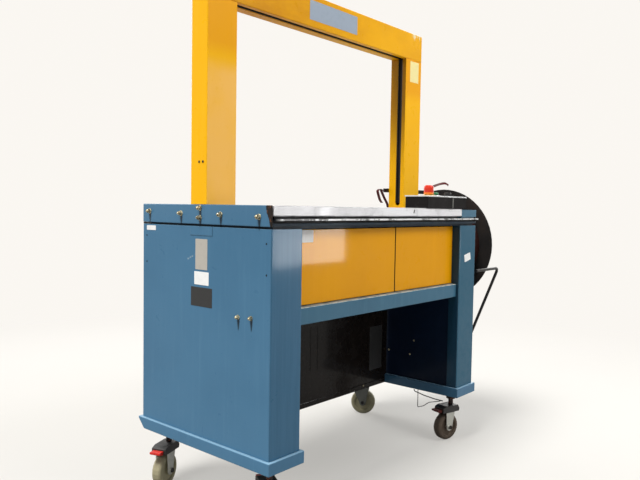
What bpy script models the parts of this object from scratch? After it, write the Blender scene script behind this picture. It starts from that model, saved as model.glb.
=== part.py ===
"""Arch strapping machine: a table on two sheet columns, a box-section arch and a strap reel at its right end.

Lengths are metres and +Z is up. Pieces are drawn from the left end (x = 0), the front face (y = 0) and the
floor (z = 0), then one empty carries them all so that the world origin lies on the floor under the middle.
"""

import math

import bmesh
import bpy
from mathutils import Matrix, Vector

# Overall sizes
LENGTH = 1.080
DEPTH = 0.555
TABLE = 0.868
ARCH_HEIGHT = 0.5745
GAP = 0.0003
RUNNING = 0.0002
SHEET = 0.0025

# Columns and base rails
POST = 0.117
LIP = 0.041
BASE_BOTTOM = 0.177
BASE_HEIGHT = 0.034
SKIRT_PROUD = 0.009
SKIRT_CHAMFER = 0.028
BEND = 0.004

# Table, from the top down
BAND_HEIGHT = 0.055
BAND_GAP = 0.006
BAND_SHEET = 0.004
SLAB_HEIGHT = 0.0275
TRAY_DROP = 0.0345
TRAY_SHEET = 0.005
TRAY_REACH = 0.0103
TRAY_START = 0.0139
RING_DROP = 0.0465
RING_HEIGHT = 0.007
SLAB_START = 0.0076
BLOCK_LENGTH = 0.108
BLOCK_DROP = 0.0035
FLAP_START = 0.352
HINGE_INSET = 0.004

# Arch
ARCH_LEG = 0.108
ARCH_DEPTH = 0.070
ARCH_Y = 0.2548
BEAM_HEIGHT = 0.1005
ARCH_SHEET = 0.003
SLOT = 0.021
SLOT_FRONT = 0.0164
SLOT_FOOT = 0.0095
GUIDE_DEPTH = 0.014
GUIDE_RECESS = 0.002
STRAP_WIDTH = 0.012
STRAP_THICKNESS = 0.0009

# Front and rear
DOOR_FRONT = 0.030
DOOR_DEPTH = 0.015
DOOR_SEAM = 0.594
DOOR_GAP = 0.0025
RAIL_FRONT = 0.0115
RAIL_DEPTH = 0.030
RAIL_BOTTOM = 0.5466
RAIL_HEIGHT = 0.0474
KICK_Y = 0.312
KICK_SLOT = 0.005
KICK_GROOVE = 0.001
KICK_SLOTS_X = (0.5055, 0.542)
KICK_SLOTS_Z = (0.300, 0.4525)

# Controls
BOX_LEFT = 0.729
BOX_LENGTH = 0.261
BOX_FRONT = -0.005
BOX_DEPTH = 0.090
BOX_HEIGHT = 0.0377
LID_HEIGHT = 0.005
LID_PROUD = 0.002
STOP_X = 0.806
START_X = 0.850
KNOB_X = 0.935
CONTROL_Y = 0.040
STOP_RADIUS = 0.017
START_RADIUS = 0.011
KNOB_RADIUS = 0.013
STEM_CLEARANCE = 0.001

# Strap reel at the right end
REEL_Y = 0.258
REEL_Z = 0.721
SHAFT_RADIUS = 0.0125
SPOOL_GAP = 0.020
COIL_WIDTH = 0.176
OUTER_FLANGE_RADIUS = 0.228
INNER_FLANGE_RADIUS = 0.185
DRUM_RADIUS = 0.100
COIL_RADIUS = 0.172
FLANGE_SHEET = 0.003
BRACKET_SHEET = 0.005
ROD_RADIUS = 0.0057
DANCER_PIVOT_Y = 0.140
DANCER_PIVOT_Z = 0.285
DANCER_TOP_Z = 0.635
DANCER_REACH = 0.197
GUIDE_BAR_LENGTH = 0.300
GUIDE_BAR_Z = 0.929

# Casters
WHEEL_RADIUS = 0.050
WHEEL_WIDTH = 0.032
AXLE_RADIUS = 0.0045
TRAIL = 0.024
FORK_TOP = 0.130
CASTER_INSET_X = 0.057
CASTER_FRONT_Y = 0.055
CASTER_REAR_Y = 0.498
PEDAL_START = 0.0585
PEDAL_Z = 0.114
STEM_RADIUS = 0.009
NUT_RADIUS = 0.017
NUT_HEIGHT = 0.025

# Strapping head and drive
HEAD_LEFT = 0.460
HEAD_TOP_LENGTH = 0.160
HEAD_LENGTH = 0.280
HEAD_BOTTOM = 0.600
PLATE = 0.010
CAM_X = 0.540
CAM_Z = 0.700
MOTOR_X = 0.850
MOTOR_Z = 0.625
CAM_PULLEY_RADIUS = 0.055
MOTOR_PULLEY_RADIUS = 0.022
BELT_THICKNESS = 0.004
ROLLER_X = 0.690
FEED_RADIUS = 0.024
PINCH_RADIUS = 0.022
FEED_Z = 0.765
SLIDE_LENGTH = 0.140
SLIDE_WIDTH = 0.055
SLIDE_TRAVEL = 0.030

# Heights that follow
BASE_TOP = BASE_BOTTOM + BASE_HEIGHT
BAND_BOTTOM = TABLE - BAND_HEIGHT
COLUMN_TOP = BAND_BOTTOM - BAND_GAP
SLAB_BOTTOM = TABLE - SLAB_HEIGHT
TRAY_TOP = TABLE - TRAY_DROP
TRAY_BOTTOM = TRAY_TOP - TRAY_SHEET
RING_TOP = TABLE - RING_DROP
RING_BOTTOM = RING_TOP - RING_HEIGHT
BLOCK_TOP = TABLE - BLOCK_DROP
BLOCK_SPAN = max(BLOCK_LENGTH, ARCH_LEG)
ARCH_INSIDE = TABLE + ARCH_HEIGHT
ARCH_BACK = ARCH_Y + ARCH_DEPTH
RAIL_TOP = RAIL_BOTTOM + RAIL_HEIGHT
FLOOR_TOP = RAIL_BOTTOM + 0.003
INNER_RIGHT = LENGTH - POST
SLOT_Y = (ARCH_Y + SLOT_FRONT, ARCH_Y + SLOT_FRONT + SLOT)
COLOURS = {
    "blue": ((0.075, 0.165, 0.270), 0.45, 0.0),
    "yellow": ((0.85, 0.47, 0.01), 0.40, 0.0),
    "steel": ((0.62, 0.62, 0.61), 0.30, 1.0),
    "black": ((0.012, 0.012, 0.013), 0.45, 0.0),
    "navy": ((0.012, 0.024, 0.040), 0.50, 0.0),
    "red": ((0.75, 0.05, 0.02), 0.35, 0.0),
    "green": ((0.05, 0.30, 0.10), 0.35, 0.0),
    "strap": ((0.12, 0.012, 0.010), 0.45, 0.0),
    "tyre": ((0.20, 0.18, 0.13), 0.60, 0.0),
    "casting": ((0.22, 0.23, 0.24), 0.55, 0.6),
    "motor": ((0.10, 0.13, 0.15), 0.50, 0.2),
}
ROUND = 32


def material(colour_name):
    """The Principled material of this colour, made once."""
    made = bpy.data.materials.get(colour_name)
    if made:
        return made
    colour, roughness, metallic = COLOURS[colour_name]
    made = bpy.data.materials.new(colour_name)
    made.use_nodes = True
    shader = made.node_tree.nodes["Principled BSDF"]
    shader.inputs["Base Color"].default_value = (*colour, 1.0)
    shader.inputs["Roughness"].default_value = roughness
    shader.inputs["Metallic"].default_value = metallic
    return made


def clear_scene():
    for old in list(bpy.data.objects):
        bpy.data.objects.remove(old, do_unlink=True)


def rounded(corners, radius, steps=3, closed=True):
    """The same outline with an arc of this radius in each corner."""
    count = len(corners)
    result = []
    for i, corner in enumerate(corners):
        here = Vector(corner)
        if not closed and i in (0, count - 1):
            result.append(here)
            continue
        back = (Vector(corners[i - 1]) - here).normalized()
        ahead = (Vector(corners[(i + 1) % count]) - here).normalized()
        half = back.angle(ahead) / 2
        reach = radius / math.tan(half)
        middle = here + (back + ahead).normalized() * (radius / math.sin(half))
        start = here + back * reach - middle
        end = here + ahead * reach - middle
        for k in range(steps + 1):
            result.append(middle + start.slerp(end, k / steps).normalized() * radius)
    return [tuple(point) for point in result]


def wall_outline(path, thickness, bend=BEND):
    """A closed outline of a bent sheet: the path is its outer face and the wall lies on the path's left."""
    outer = rounded(path, bend, closed=False)
    inner = []
    for i, corner in enumerate(path):
        here = Vector(corner)
        before = (here - Vector(path[i - 1])).normalized() if i else None
        after = (Vector(path[i + 1]) - here).normalized() if i + 1 < len(path) else None
        first = before or after
        second = after or before
        normal_a = Vector((-first.y, first.x))
        normal_b = Vector((-second.y, second.x))
        middle = (normal_a + normal_b).normalized()
        inner.append(tuple(here + middle * (thickness / middle.dot(normal_a))))
    return outer + rounded(inner, max(bend - thickness, 0.0005), closed=False)[::-1]


def circle(centre, radius, sides=ROUND, start=0.0, sweep=360.0):
    """Points of a circle, or of an arc that ends short of a full turn."""
    full = abs(sweep) >= 360.0
    steps = sides if full else max(int(sides * abs(sweep) / 360.0), 3)
    count = steps if full else steps + 1
    turn = [math.radians(start + sweep * k / steps) for k in range(count)]
    return [(centre[0] + radius * math.cos(a), centre[1] + radius * math.sin(a)) for a in turn]


def place(axis, along, across, up):
    """A point from its place along the axis and its two other coordinates, in x, y, z order."""
    return {
        "x": (along, across, up),
        "y": (across, along, up),
        "z": (across, up, along),
    }[axis]


def prism(outline, axis, low, high):
    """The outline carried along an axis from low to high."""
    shape = bmesh.new()
    ends = [[shape.verts.new(place(axis, at, *point)) for point in outline] for at in (low, high)]
    count = len(outline)
    for k in range(count):
        shape.faces.new((ends[0][k], ends[0][(k + 1) % count], ends[1][(k + 1) % count], ends[1][k]))
    shape.faces.new(ends[0])
    shape.faces.new(ends[1])
    bmesh.ops.recalc_face_normals(shape, faces=shape.faces)
    return shape


def block(low, high, edge=0.0):
    """A box between two corners, its edges parallel to z rounded by edge."""
    corners = [(low[0], low[1]), (high[0], low[1]), (high[0], high[1]), (low[0], high[1])]
    if edge:
        corners = rounded(corners, edge)
    return prism(corners, "z", low[2], high[2])


def rod(axis, centre, radius, low, high, sides=ROUND):
    return prism(circle(centre, radius, sides), axis, low, high)


def turned(axis, centre, profile, sides=ROUND):
    """A profile of (radius, along) points turned about an axis; a loop of points with no zero radius is a ring."""
    shape = bmesh.new()
    rings = []
    for radius, along in profile:
        if radius <= 0:
            rings.append([shape.verts.new(place(axis, along, *centre))])
            continue
        rings.append([shape.verts.new(place(axis, along, *point)) for point in circle(centre, radius, sides)])
    is_ring = all(radius > 0 for radius, _ in profile)
    pairs = list(zip(rings, rings[1:] + rings[:1])) if is_ring else list(zip(rings, rings[1:]))
    for one, two in pairs:
        for k in range(sides):
            following = (k + 1) % sides
            if len(one) == 1:
                shape.faces.new((one[0], two[following], two[k]))
            elif len(two) == 1:
                shape.faces.new((one[k], one[following], two[0]))
            else:
                shape.faces.new((one[k], one[following], two[following], two[k]))
    bmesh.ops.recalc_face_normals(shape, faces=shape.faces)
    return shape


def swept(path, radius, sides=12):
    """A round bar along a path of points, with flat ends."""
    points = [Vector(point) for point in path]
    shape = bmesh.new()
    ahead = [(points[min(i + 1, len(points) - 1)] - points[max(i - 1, 0)]).normalized() for i in range(len(points))]
    side = ahead[0].orthogonal().normalized()
    rings = []
    for point, direction in zip(points, ahead):
        side = (side - direction * side.dot(direction)).normalized()
        other = direction.cross(side)
        rings.append(
            [shape.verts.new(point + side * radius * a + other * radius * b) for a, b in circle((0, 0), 1, sides)]
        )
    return skin(shape, rings)


def ribbon(path, width, thickness, across=(0, 1, 0), turned_to=(0, 1, 0), straight=0.3):
    """A flat strap along a path; its width lies across at first, then turns towards another direction."""
    points = [Vector(point) for point in path]
    shape = bmesh.new()
    rings = []
    for i, point in enumerate(points):
        direction = (points[min(i + 1, len(points) - 1)] - points[max(i - 1, 0)]).normalized()
        share = max(0.0, i / (len(points) - 1) - straight) / (1 - straight)
        side = Vector(across).lerp(Vector(turned_to), share)
        side = (side - direction * side.dot(direction)).normalized() * (width / 2)
        up = side.cross(direction).normalized() * (thickness / 2)
        rings.append([shape.verts.new(point + a) for a in (side + up, side - up, -side - up, -side + up)])
    return skin(shape, rings)


def skin(shape, rings):
    """Faces between neighbouring rings and over both ends."""
    count = len(rings[0])
    for one, two in zip(rings, rings[1:]):
        for k in range(count):
            following = (k + 1) % count
            shape.faces.new((one[k], one[following], two[following], two[k]))
    shape.faces.new(rings[0])
    shape.faces.new(rings[-1])
    bmesh.ops.recalc_face_normals(shape, faces=shape.faces)
    return shape


def bent_path(corners, radius, steps=4):
    """A path of straight runs whose corners are arcs, in three dimensions."""
    return rounded(corners, radius, steps, closed=False)


def smooth_path(points, per_span=5):
    """A curve through the points (Catmull-Rom)."""
    ends = [Vector(point) for point in points]
    ends = [ends[0] * 2 - ends[1], *ends, ends[-1] * 2 - ends[-2]]
    result = []
    for i in range(1, len(ends) - 2):
        a, b, c, d = ends[i - 1 : i + 3]
        for k in range(per_span):
            t = k / per_span
            result.append(
                (b * 2 + (c - a) * t + (a * 2 - b * 5 + c * 4 - d) * t**2 + (b * 3 - a - c * 3 + d) * t**3) / 2
            )
    return result + [ends[-2]]


def piece(name, shape, colour, origin=(0, 0, 0), edge=0.0, smooth=True):
    """Makes a named object of a shape, with its origin at a point of the drawing frame."""
    bmesh.ops.translate(shape, verts=shape.verts, vec=-Vector(origin))
    mesh = bpy.data.meshes.new(name)
    shape.to_mesh(mesh)
    shape.free()
    mesh.materials.append(material(colour))
    if smooth:
        mesh.shade_smooth()
        mesh.set_sharp_from_angle(angle=math.radians(35))
    made = bpy.data.objects.new(name, mesh)
    bpy.context.scene.collection.objects.link(made)
    made.parent = MACHINE
    made.location = origin
    if edge:
        rounding = made.modifiers.new("edges", "BEVEL")
        rounding.width = edge
        rounding.segments = 1
        rounding.limit_method = "ANGLE"
        rounding.angle_limit = math.radians(50)
    return made


def combine(target, shape, operation, number):
    """Adds a Boolean with a hidden helper made of the shape, which is given in the target's drawing frame."""
    helper = piece(f"{target.name}_tool_{number}", shape, "black", smooth=False)
    helper.hide_render = True
    helper.display_type = "WIRE"
    change = target.modifiers.new(f"{operation}_{number}", "BOOLEAN")
    change.object = helper
    change.operation = operation
    change.solver = "EXACT"


def cut(target, *shapes):
    for number, shape in enumerate(shapes):
        combine(target, shape, "DIFFERENCE", number)


def join(target, *shapes):
    for number, shape in enumerate(shapes):
        combine(target, shape, "UNION", number)


def mirrored_x(points):
    """The outline's mirror image in the middle of the length."""
    return [(LENGTH - x, y) for x, y in points][::-1]


def make_columns():
    """Two C-shaped sheet columns, open towards the leg room, and the flat covers behind their lips."""
    half = [(POST, LIP), (POST, 0), (0, 0), (0, DEPTH), (POST, DEPTH), (POST, DEPTH - LIP)]
    outline = wall_outline(half[::-1], SHEET)
    bottom = BASE_TOP + GAP
    cap_low = COLUMN_TOP - 0.003
    inset = SHEET / 2
    for side, shape_of in (("left", list), ("right", mirrored_x)):
        column = piece(f"{side}_column", prism(shape_of(outline), "z", bottom, COLUMN_TOP), "blue")
        start = inset if side == "left" else INNER_RIGHT + inset
        cap = block((start, inset, cap_low), (start + POST - 2 * inset, DEPTH - inset, COLUMN_TOP - 0.0002))
        join(column, cap)
        back = POST - SHEET - GAP
        cover_x = (back - 0.0015, back) if side == "left" else (LENGTH - back, LENGTH - back + 0.0015)
        low = (cover_x[0], LIP - 0.012, bottom)
        high = (cover_x[1], DEPTH - LIP + 0.012, cap_low - GAP)
        piece(f"{side}_inner_cover", block(low, high), "navy")


def make_base_rails():
    """Folded skirts under the columns, with the caster stems and their nuts hanging from them."""
    front = -SKIRT_PROUD
    rear = DEPTH + SKIRT_PROUD
    side_view = [
        (front, BASE_BOTTOM),
        (rear - SKIRT_CHAMFER, BASE_BOTTOM),
        (rear, BASE_BOTTOM + SKIRT_CHAMFER),
        (rear, BASE_TOP),
        (front, BASE_TOP),
    ]
    wall = 0.003
    for side, x_low in (("left", -SKIRT_PROUD), ("right", INNER_RIGHT - SKIRT_PROUD)):
        x_high = x_low + POST + 2 * SKIRT_PROUD
        rail = piece(f"{side}_base_rail", prism(side_view, "x", x_low, x_high), "blue", edge=0.0015)
        hollow = [(front + wall, 0.1), (rear - SKIRT_CHAMFER - wall, 0.1)]
        hollow += [(rear - SKIRT_CHAMFER - wall, BASE_BOTTOM), (rear - wall, BASE_BOTTOM + SKIRT_CHAMFER)]
        hollow += [(rear - wall, BASE_TOP - wall), (front + wall, BASE_TOP - wall)]
        cut(rail, prism(hollow, "x", x_low + wall, x_high - wall))
        stem_x = CASTER_INSET_X if side == "left" else LENGTH - CASTER_INSET_X
        for number, stem_y in enumerate((CASTER_FRONT_Y, CASTER_REAR_Y)):
            stem = [(0, FORK_TOP + GAP), (STEM_RADIUS, FORK_TOP + GAP), (STEM_RADIUS, BASE_BOTTOM - NUT_HEIGHT)]
            stem += [(NUT_RADIUS, BASE_BOTTOM - NUT_HEIGHT), (NUT_RADIUS, BASE_TOP - wall / 2)]
            stem += [(0, BASE_TOP - wall / 2)]
            combine(rail, turned("z", (stem_x, stem_y), stem, 18), "UNION", f"stem_{number}")


def frame_block(left, inset, low, high):
    """A box over the whole table, set in from its edges."""
    return block((left + inset, inset, low), (LENGTH - inset, DEPTH - inset, high))


def make_top_frame():
    """The ring under the table, its end plates and the thin tray that overhangs the right end."""
    left = BAND_SHEET + GAP
    side = 0.028
    ring = piece("top_frame", block((left, 0, RING_BOTTOM), (LENGTH, DEPTH, RING_TOP), 0.002), "blue")
    inset = 0.008
    riser = block((left + inset, inset, RING_TOP - 0.002), (LENGTH - inset, DEPTH - inset, TRAY_BOTTOM - GAP))
    foot_inset = 0.010
    foot = frame_block(left, foot_inset, COLUMN_TOP + GAP, RING_BOTTOM + 0.001)
    foot_hollow = frame_block(left, foot_inset + 0.003, COLUMN_TOP - 0.01, RING_BOTTOM + 0.0002)
    front = DOOR_FRONT + DOOR_DEPTH + 0.001
    opening = block((left + side, front, COLUMN_TOP - 0.02), (LENGTH - side, DEPTH - front, TRAY_BOTTOM + 0.01))
    join(ring, riser, foot)
    combine(ring, foot_hollow, "DIFFERENCE", "foot_hollow")
    combine(ring, opening, "DIFFERENCE", "opening")
    piece("left_band", block((0, 0, BAND_BOTTOM), (BAND_SHEET, DEPTH, TABLE)), "blue", edge=0.0012)
    tray_low = (TRAY_START, -0.006, TRAY_BOTTOM)
    tray = piece("table_tray", block(tray_low, (LENGTH + TRAY_REACH, DEPTH + 0.006, TRAY_TOP), 0.004), "steel")
    cut(tray, block((0.120, 0.060, TRAY_BOTTOM - 0.01), (0.930, 0.500, TRAY_TOP + 0.01)))
    start = LENGTH - BLOCK_SPAN
    end_block = piece("right_end_block", block((start, 0, BLOCK_TOP - 0.026), (LENGTH, DEPTH, BLOCK_TOP)), "blue")
    inset = 0.006
    foot = block((start + inset, inset, TRAY_TOP + GAP), (LENGTH - inset, DEPTH - inset, BLOCK_TOP - 0.024))
    join(end_block, foot)
    hollow = block((start + 0.012, 0.012, TRAY_TOP - 0.01), (LENGTH - 0.012, DEPTH - 0.012, BLOCK_TOP - 0.003))
    combine(end_block, hollow, "DIFFERENCE", "hollow")


def table_plate(name, y_low, y_high, origin=(0, 0, 0)):
    """A table plate: a 3 mm top with folded edges, hollow below."""
    x_low = SLAB_START
    x_high = LENGTH - BLOCK_SPAN - GAP
    plate = piece(name, block((x_low, y_low, SLAB_BOTTOM), (x_high, y_high, TABLE)), "steel", origin, edge=0.0015)
    wall = 0.003
    low = (x_low + wall, y_low + wall, SLAB_BOTTOM - 0.01)
    cut(plate, block(low, (x_high - wall, y_high - wall, TABLE - wall)))
    return plate


def make_table():
    """The fixed front plate with the head opening and the strap slot, and the hinged rear flap."""
    plate = table_plate("front_table_plate", 0, FLAP_START - 0.0005)
    opening_x = (HEAD_LEFT - 0.005, HEAD_LEFT + HEAD_TOP_LENGTH + 0.005)
    opening_y = (ARCH_Y - 0.0103, ARCH_Y + 0.0807)
    opening = block((opening_x[0], opening_y[0], 0.8), (opening_x[1], opening_y[1], 0.9))
    combine(plate, opening, "DIFFERENCE", "opening")
    slot = block((ARCH_LEG + 0.006, SLOT_Y[0], 0.8), (LENGTH - ARCH_LEG - 0.032, SLOT_Y[1], 0.9), 0.006)
    combine(plate, slot, "DIFFERENCE", "slot")
    inset = 0.012
    low = (SLAB_START + inset, inset, TRAY_TOP + GAP)
    wall = 0.004
    foot = [
        block(low, (LENGTH - BLOCK_SPAN - inset, inset + wall, TABLE - 0.002)),
        block(low, (SLAB_START + inset + wall, FLAP_START - inset, TABLE - 0.002)),
        block((LENGTH - BLOCK_SPAN - inset - wall, inset, low[2]),
              (LENGTH - BLOCK_SPAN - inset, FLAP_START - inset, TABLE - 0.002)),
    ]
    for number, shape in enumerate(foot):
        combine(plate, shape, "UNION", f"foot_{number}")
    hinge = (0, DEPTH - 0.0015 - HINGE_INSET, SLAB_BOTTOM + HINGE_INSET)
    table_plate("rear_table_flap", FLAP_START, DEPTH - 0.0015, hinge)


def make_rails():
    """C-section cross rails between the columns, front and rear."""
    half = SHEET / 2
    x_low = POST + GAP
    x_high = INNER_RIGHT - GAP
    back = RAIL_FRONT + RAIL_DEPTH
    front_view = [(back, RAIL_TOP), (RAIL_FRONT, RAIL_TOP), (RAIL_FRONT, RAIL_BOTTOM), (back, RAIL_BOTTOM)]
    outline = wall_outline(front_view, 2 * half, 0.003)
    piece("front_cross_rail", prism(outline, "x", x_low, x_high), "blue")
    rear_view = [(DEPTH - y, z) for y, z in outline][::-1]
    piece("rear_cross_rail", prism(rear_view, "x", x_low, x_high), "blue")


def door(name, x_low, x_high, hinge_x):
    """A shallow pan that opens on pins at one side, front face towards the operator."""
    low_z = RAIL_TOP + DOOR_GAP
    high_z = COLUMN_TOP - 0.003
    hinge = (hinge_x, DOOR_FRONT + 0.0005, 0)
    back = DOOR_FRONT + DOOR_DEPTH
    made = piece(name, block((x_low, DOOR_FRONT, low_z), (x_high, back, high_z)), "yellow", hinge, edge=0.0012)
    wall = 0.0015
    pan = block((x_low + wall, DOOR_FRONT + wall, low_z + wall), (x_high - wall, back + 0.01, high_z - wall))
    cut(made, pan)
    pin_x = hinge_x + math.copysign(0.003, (x_low + x_high) / 2 - hinge_x)
    for number, (low, high) in enumerate(((RAIL_TOP + GAP, low_z + 0.001), (high_z - 0.001, RING_BOTTOM - GAP))):
        pin = rod("z", (pin_x, DOOR_FRONT + 0.0045), 0.003, low, high, 12)
        combine(made, pin, "UNION", f"pin_{number}")


def make_doors_and_covers():
    door("left_door", POST + DOOR_GAP, DOOR_SEAM - DOOR_GAP / 2, POST + DOOR_GAP)
    door("right_door", DOOR_SEAM + DOOR_GAP / 2, INNER_RIGHT - DOOR_GAP, INNER_RIGHT - DOOR_GAP)
    x_low = POST + 0.0008
    x_high = INNER_RIGHT - 0.0008
    back = DEPTH - RAIL_FRONT - SHEET
    pan = [(back, COLUMN_TOP - 0.002), (DEPTH - RAIL_FRONT, COLUMN_TOP - 0.002), (DEPTH - RAIL_FRONT, RAIL_TOP + GAP)]
    pan += [(DEPTH - RAIL_FRONT - 0.020, RAIL_TOP + GAP), (DEPTH - RAIL_FRONT - 0.020, RAIL_TOP + GAP + SHEET)]
    pan += [(back, RAIL_TOP + GAP + SHEET)]
    piece("rear_cover", prism(pan[::-1], "x", x_low, x_high), "yellow")
    sheet = 0.002
    lip = [(KICK_Y, RAIL_BOTTOM), (KICK_Y, BASE_BOTTOM), (KICK_Y + 0.022, BASE_BOTTOM)]
    panel = piece("kick_panel", prism(wall_outline(lip, sheet, 0.0025), "x", x_low, x_high), "black")
    low_z, high_z = KICK_SLOTS_Z
    for number, x in enumerate(KICK_SLOTS_X):
        half = KICK_SLOT / 2
        low = (x - half, KICK_Y - 0.01, low_z)
        combine(panel, block(low, (x + half, KICK_Y + KICK_GROOVE, high_z)), "DIFFERENCE", f"groove_{number}")
    notch = SKIRT_PROUD + GAP
    bead_ends = (POST + notch + 0.002, INNER_RIGHT - notch - 0.002)
    bead = prism(circle((KICK_Y + 0.0005, BASE_BOTTOM + 0.018), 0.0022, 12), "x", *bead_ends)
    combine(panel, bead, "UNION", "bead")
    for side, ends in (("left", (POST - 0.01, POST + notch)), ("right", (INNER_RIGHT - notch, INNER_RIGHT + 0.01))):
        corner = block((ends[0], KICK_Y - 0.01, BASE_BOTTOM - 0.01), (ends[1], KICK_Y + 0.03, BASE_TOP + GAP))
        combine(panel, corner, "DIFFERENCE", f"{side}_notch")
    low = (x_low, RAIL_FRONT + RAIL_DEPTH + GAP, RAIL_BOTTOM + GAP)
    piece("mechanism_floor", block(low, (x_high, DEPTH - RAIL_FRONT - RAIL_DEPTH - GAP, FLOOR_TOP)), "navy")


def arch_leg(name, x_low, inner_x, bottom):
    """A box-section upright whose inner face has the strap slot, rounded at its foot."""
    top = ARCH_INSIDE - GAP
    low = (x_low, ARCH_Y, bottom)
    leg = piece(name, block(low, (x_low + ARCH_LEG, ARCH_BACK, top), 0.003), "yellow")
    wall = ARCH_SHEET
    hollow = block(
        (x_low + wall, ARCH_Y + wall, bottom + 0.006), (x_low + ARCH_LEG - wall, ARCH_BACK - wall, top + 0.01)
    )
    combine(leg, hollow, "DIFFERENCE", "hollow")
    radius = SLOT / 2
    foot = (sum(SLOT_Y) / 2, TABLE + SLOT_FOOT + radius)
    outline = [(SLOT_Y[0], top + 0.01)] + circle(foot, radius, 24, 180, 180) + [(SLOT_Y[1], top + 0.01)]
    combine(leg, prism(outline, "x", inner_x - 0.008, inner_x + 0.008), "DIFFERENCE", "slot")


def guide_section(inward, outward, middle, half):
    """A strap guide's section across its run: a U whose groove faces the inside of the arch."""
    groove = STRAP_WIDTH / 2 + 0.0005
    floor = inward + (outward - inward) * 0.45
    return [
        (inward, middle - half),
        (inward, middle - groove),
        (floor, middle - groove),
        (floor, middle + groove),
        (inward, middle + groove),
        (inward, middle + half),
        (outward, middle + half),
        (outward, middle - half),
    ]


def make_arch():
    """Two uprights, the beam over them and the strap guides that fill their slots."""
    arch_leg("left_arch_leg", 0, ARCH_LEG, TABLE + GAP)
    arch_leg("right_arch_leg", LENGTH - ARCH_LEG, LENGTH - ARCH_LEG, BLOCK_TOP + GAP)
    low = (0, ARCH_Y, ARCH_INSIDE)
    high = (LENGTH, ARCH_BACK, ARCH_INSIDE + BEAM_HEIGHT)
    beam = piece("arch_beam", block(low, high), "yellow", edge=0.002)
    wall = Vector((ARCH_SHEET, ARCH_SHEET, ARCH_SHEET))
    cut(beam, block(Vector(low) + wall, Vector(high) - wall))
    slot = block((0.060, SLOT_Y[0], ARCH_INSIDE - 0.01), (LENGTH - 0.060, SLOT_Y[1], ARCH_INSIDE + 0.01))
    combine(beam, slot, "DIFFERENCE", "slot")
    middle = sum(SLOT_Y) / 2
    half = SLOT / 2 - RUNNING
    foot = TABLE + SLOT_FOOT + SLOT / 2
    for side, face, away in (("left", ARCH_LEG, -1), ("right", LENGTH - ARCH_LEG, 1)):
        section = guide_section(face + away * GUIDE_RECESS, face + away * (GUIDE_RECESS + GUIDE_DEPTH), middle, half)
        piece(f"{side}_strap_guide", prism(section, "z", foot, ARCH_INSIDE - 0.0015), "black")
    low_z = ARCH_INSIDE + GUIDE_RECESS
    section = [(y, z) for z, y in guide_section(low_z, low_z + GUIDE_DEPTH, middle, half)]
    piece("top_strap_guide", prism(section, "x", ARCH_LEG - 0.014, LENGTH - ARCH_LEG + 0.014), "black")


def make_strap_guide_bar():
    """A channel behind the right upright, which carries the loose strap from the reel side."""
    front = ARCH_BACK + 0.0006
    width = 0.018
    wall = 0.0025
    top = GUIDE_BAR_Z + 0.015
    section = [
        (front, GUIDE_BAR_Z),
        (front + width, GUIDE_BAR_Z),
        (front + width, top),
        (front + width - wall, top),
        (front + width - wall, GUIDE_BAR_Z + wall),
        (front + wall, GUIDE_BAR_Z + wall),
        (front + wall, top),
        (front, top),
    ]
    start = LENGTH - ARCH_LEG - 0.010
    piece("strap_guide_bar", prism(section, "x", start, start + GUIDE_BAR_LENGTH), "black")
    return start, start + GUIDE_BAR_LENGTH, front + width / 2, GUIDE_BAR_Z + wall + GAP + STRAP_THICKNESS / 2


def make_loose_strap():
    """The strap in the channel: one end rises over the reel, the other curls down on the table."""
    start, end, y, floor = make_strap_guide_bar()
    run = [
        (start + 0.050, y, floor),
        (end - 0.034, y, floor),
        (end - 0.012, y, floor + 0.0015),
        (end + 0.003, y, floor + 0.009),
        (end + 0.011, y, floor + 0.019),
        (end + 0.022, y - 0.022, floor + 0.030),
        (end + 0.034, y - 0.046, floor + 0.040),
        (end + 0.050, y - 0.064, floor + 0.044),
        (end + 0.062, y - 0.074, floor + 0.036),
    ]
    piece("strap_run", ribbon(smooth_path(run), STRAP_WIDTH, STRAP_THICKNESS, turned_to=(0.3, 0.6, 1.0)), "strap")
    edge = LENGTH - ARCH_LEG
    curl = [
        (edge + 0.016, y, floor),
        (edge - 0.010, y, floor + 0.001),
        (edge - 0.030, y, floor + 0.005),
        (edge - 0.047, y, floor + 0.008),
        (edge - 0.060, y, floor + 0.001),
        (edge - 0.055, y, floor - 0.014),
        (edge - 0.044, y, floor - 0.034),
        (edge - 0.031, y, floor - 0.045),
    ]
    loop = piece("strap_loop", ribbon(smooth_path(curl), STRAP_WIDTH, STRAP_THICKNESS), "strap")
    rise = [
        (edge + 0.012, y, TABLE + 0.002),
        (edge + 0.004, y, TABLE + 0.018),
        (edge - 0.016, y, TABLE + 0.040),
        (edge - 0.040, y, floor + 0.0068),
    ]
    join(loop, ribbon(smooth_path(rise), STRAP_WIDTH - 0.001, STRAP_THICKNESS * 2.2))


def button_hole(x, radius, low, high):
    return rod("z", (x, CONTROL_Y), radius + STEM_CLEARANCE, low, high, 20)


def push_button(name, x, radius, height, colour, dome):
    """A button whose stem runs down through the lid; its underside clears the lid by its travel."""
    lid_top = TABLE + GAP + BOX_HEIGHT + GAP + LID_HEIGHT
    under = lid_top + 0.0055
    stem = 0.006
    top = under + height
    profile = [
        (0, lid_top - 0.020),
        (stem, lid_top - 0.020),
        (stem, under),
        (radius, under),
        (radius, top - dome),
        (radius * 0.92, top - dome * 0.35),
        (radius * 0.6, top),
        (0, top),
    ]
    piece(name, turned("z", (x, CONTROL_Y), profile, 24), colour, (x, CONTROL_Y, under))


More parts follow.
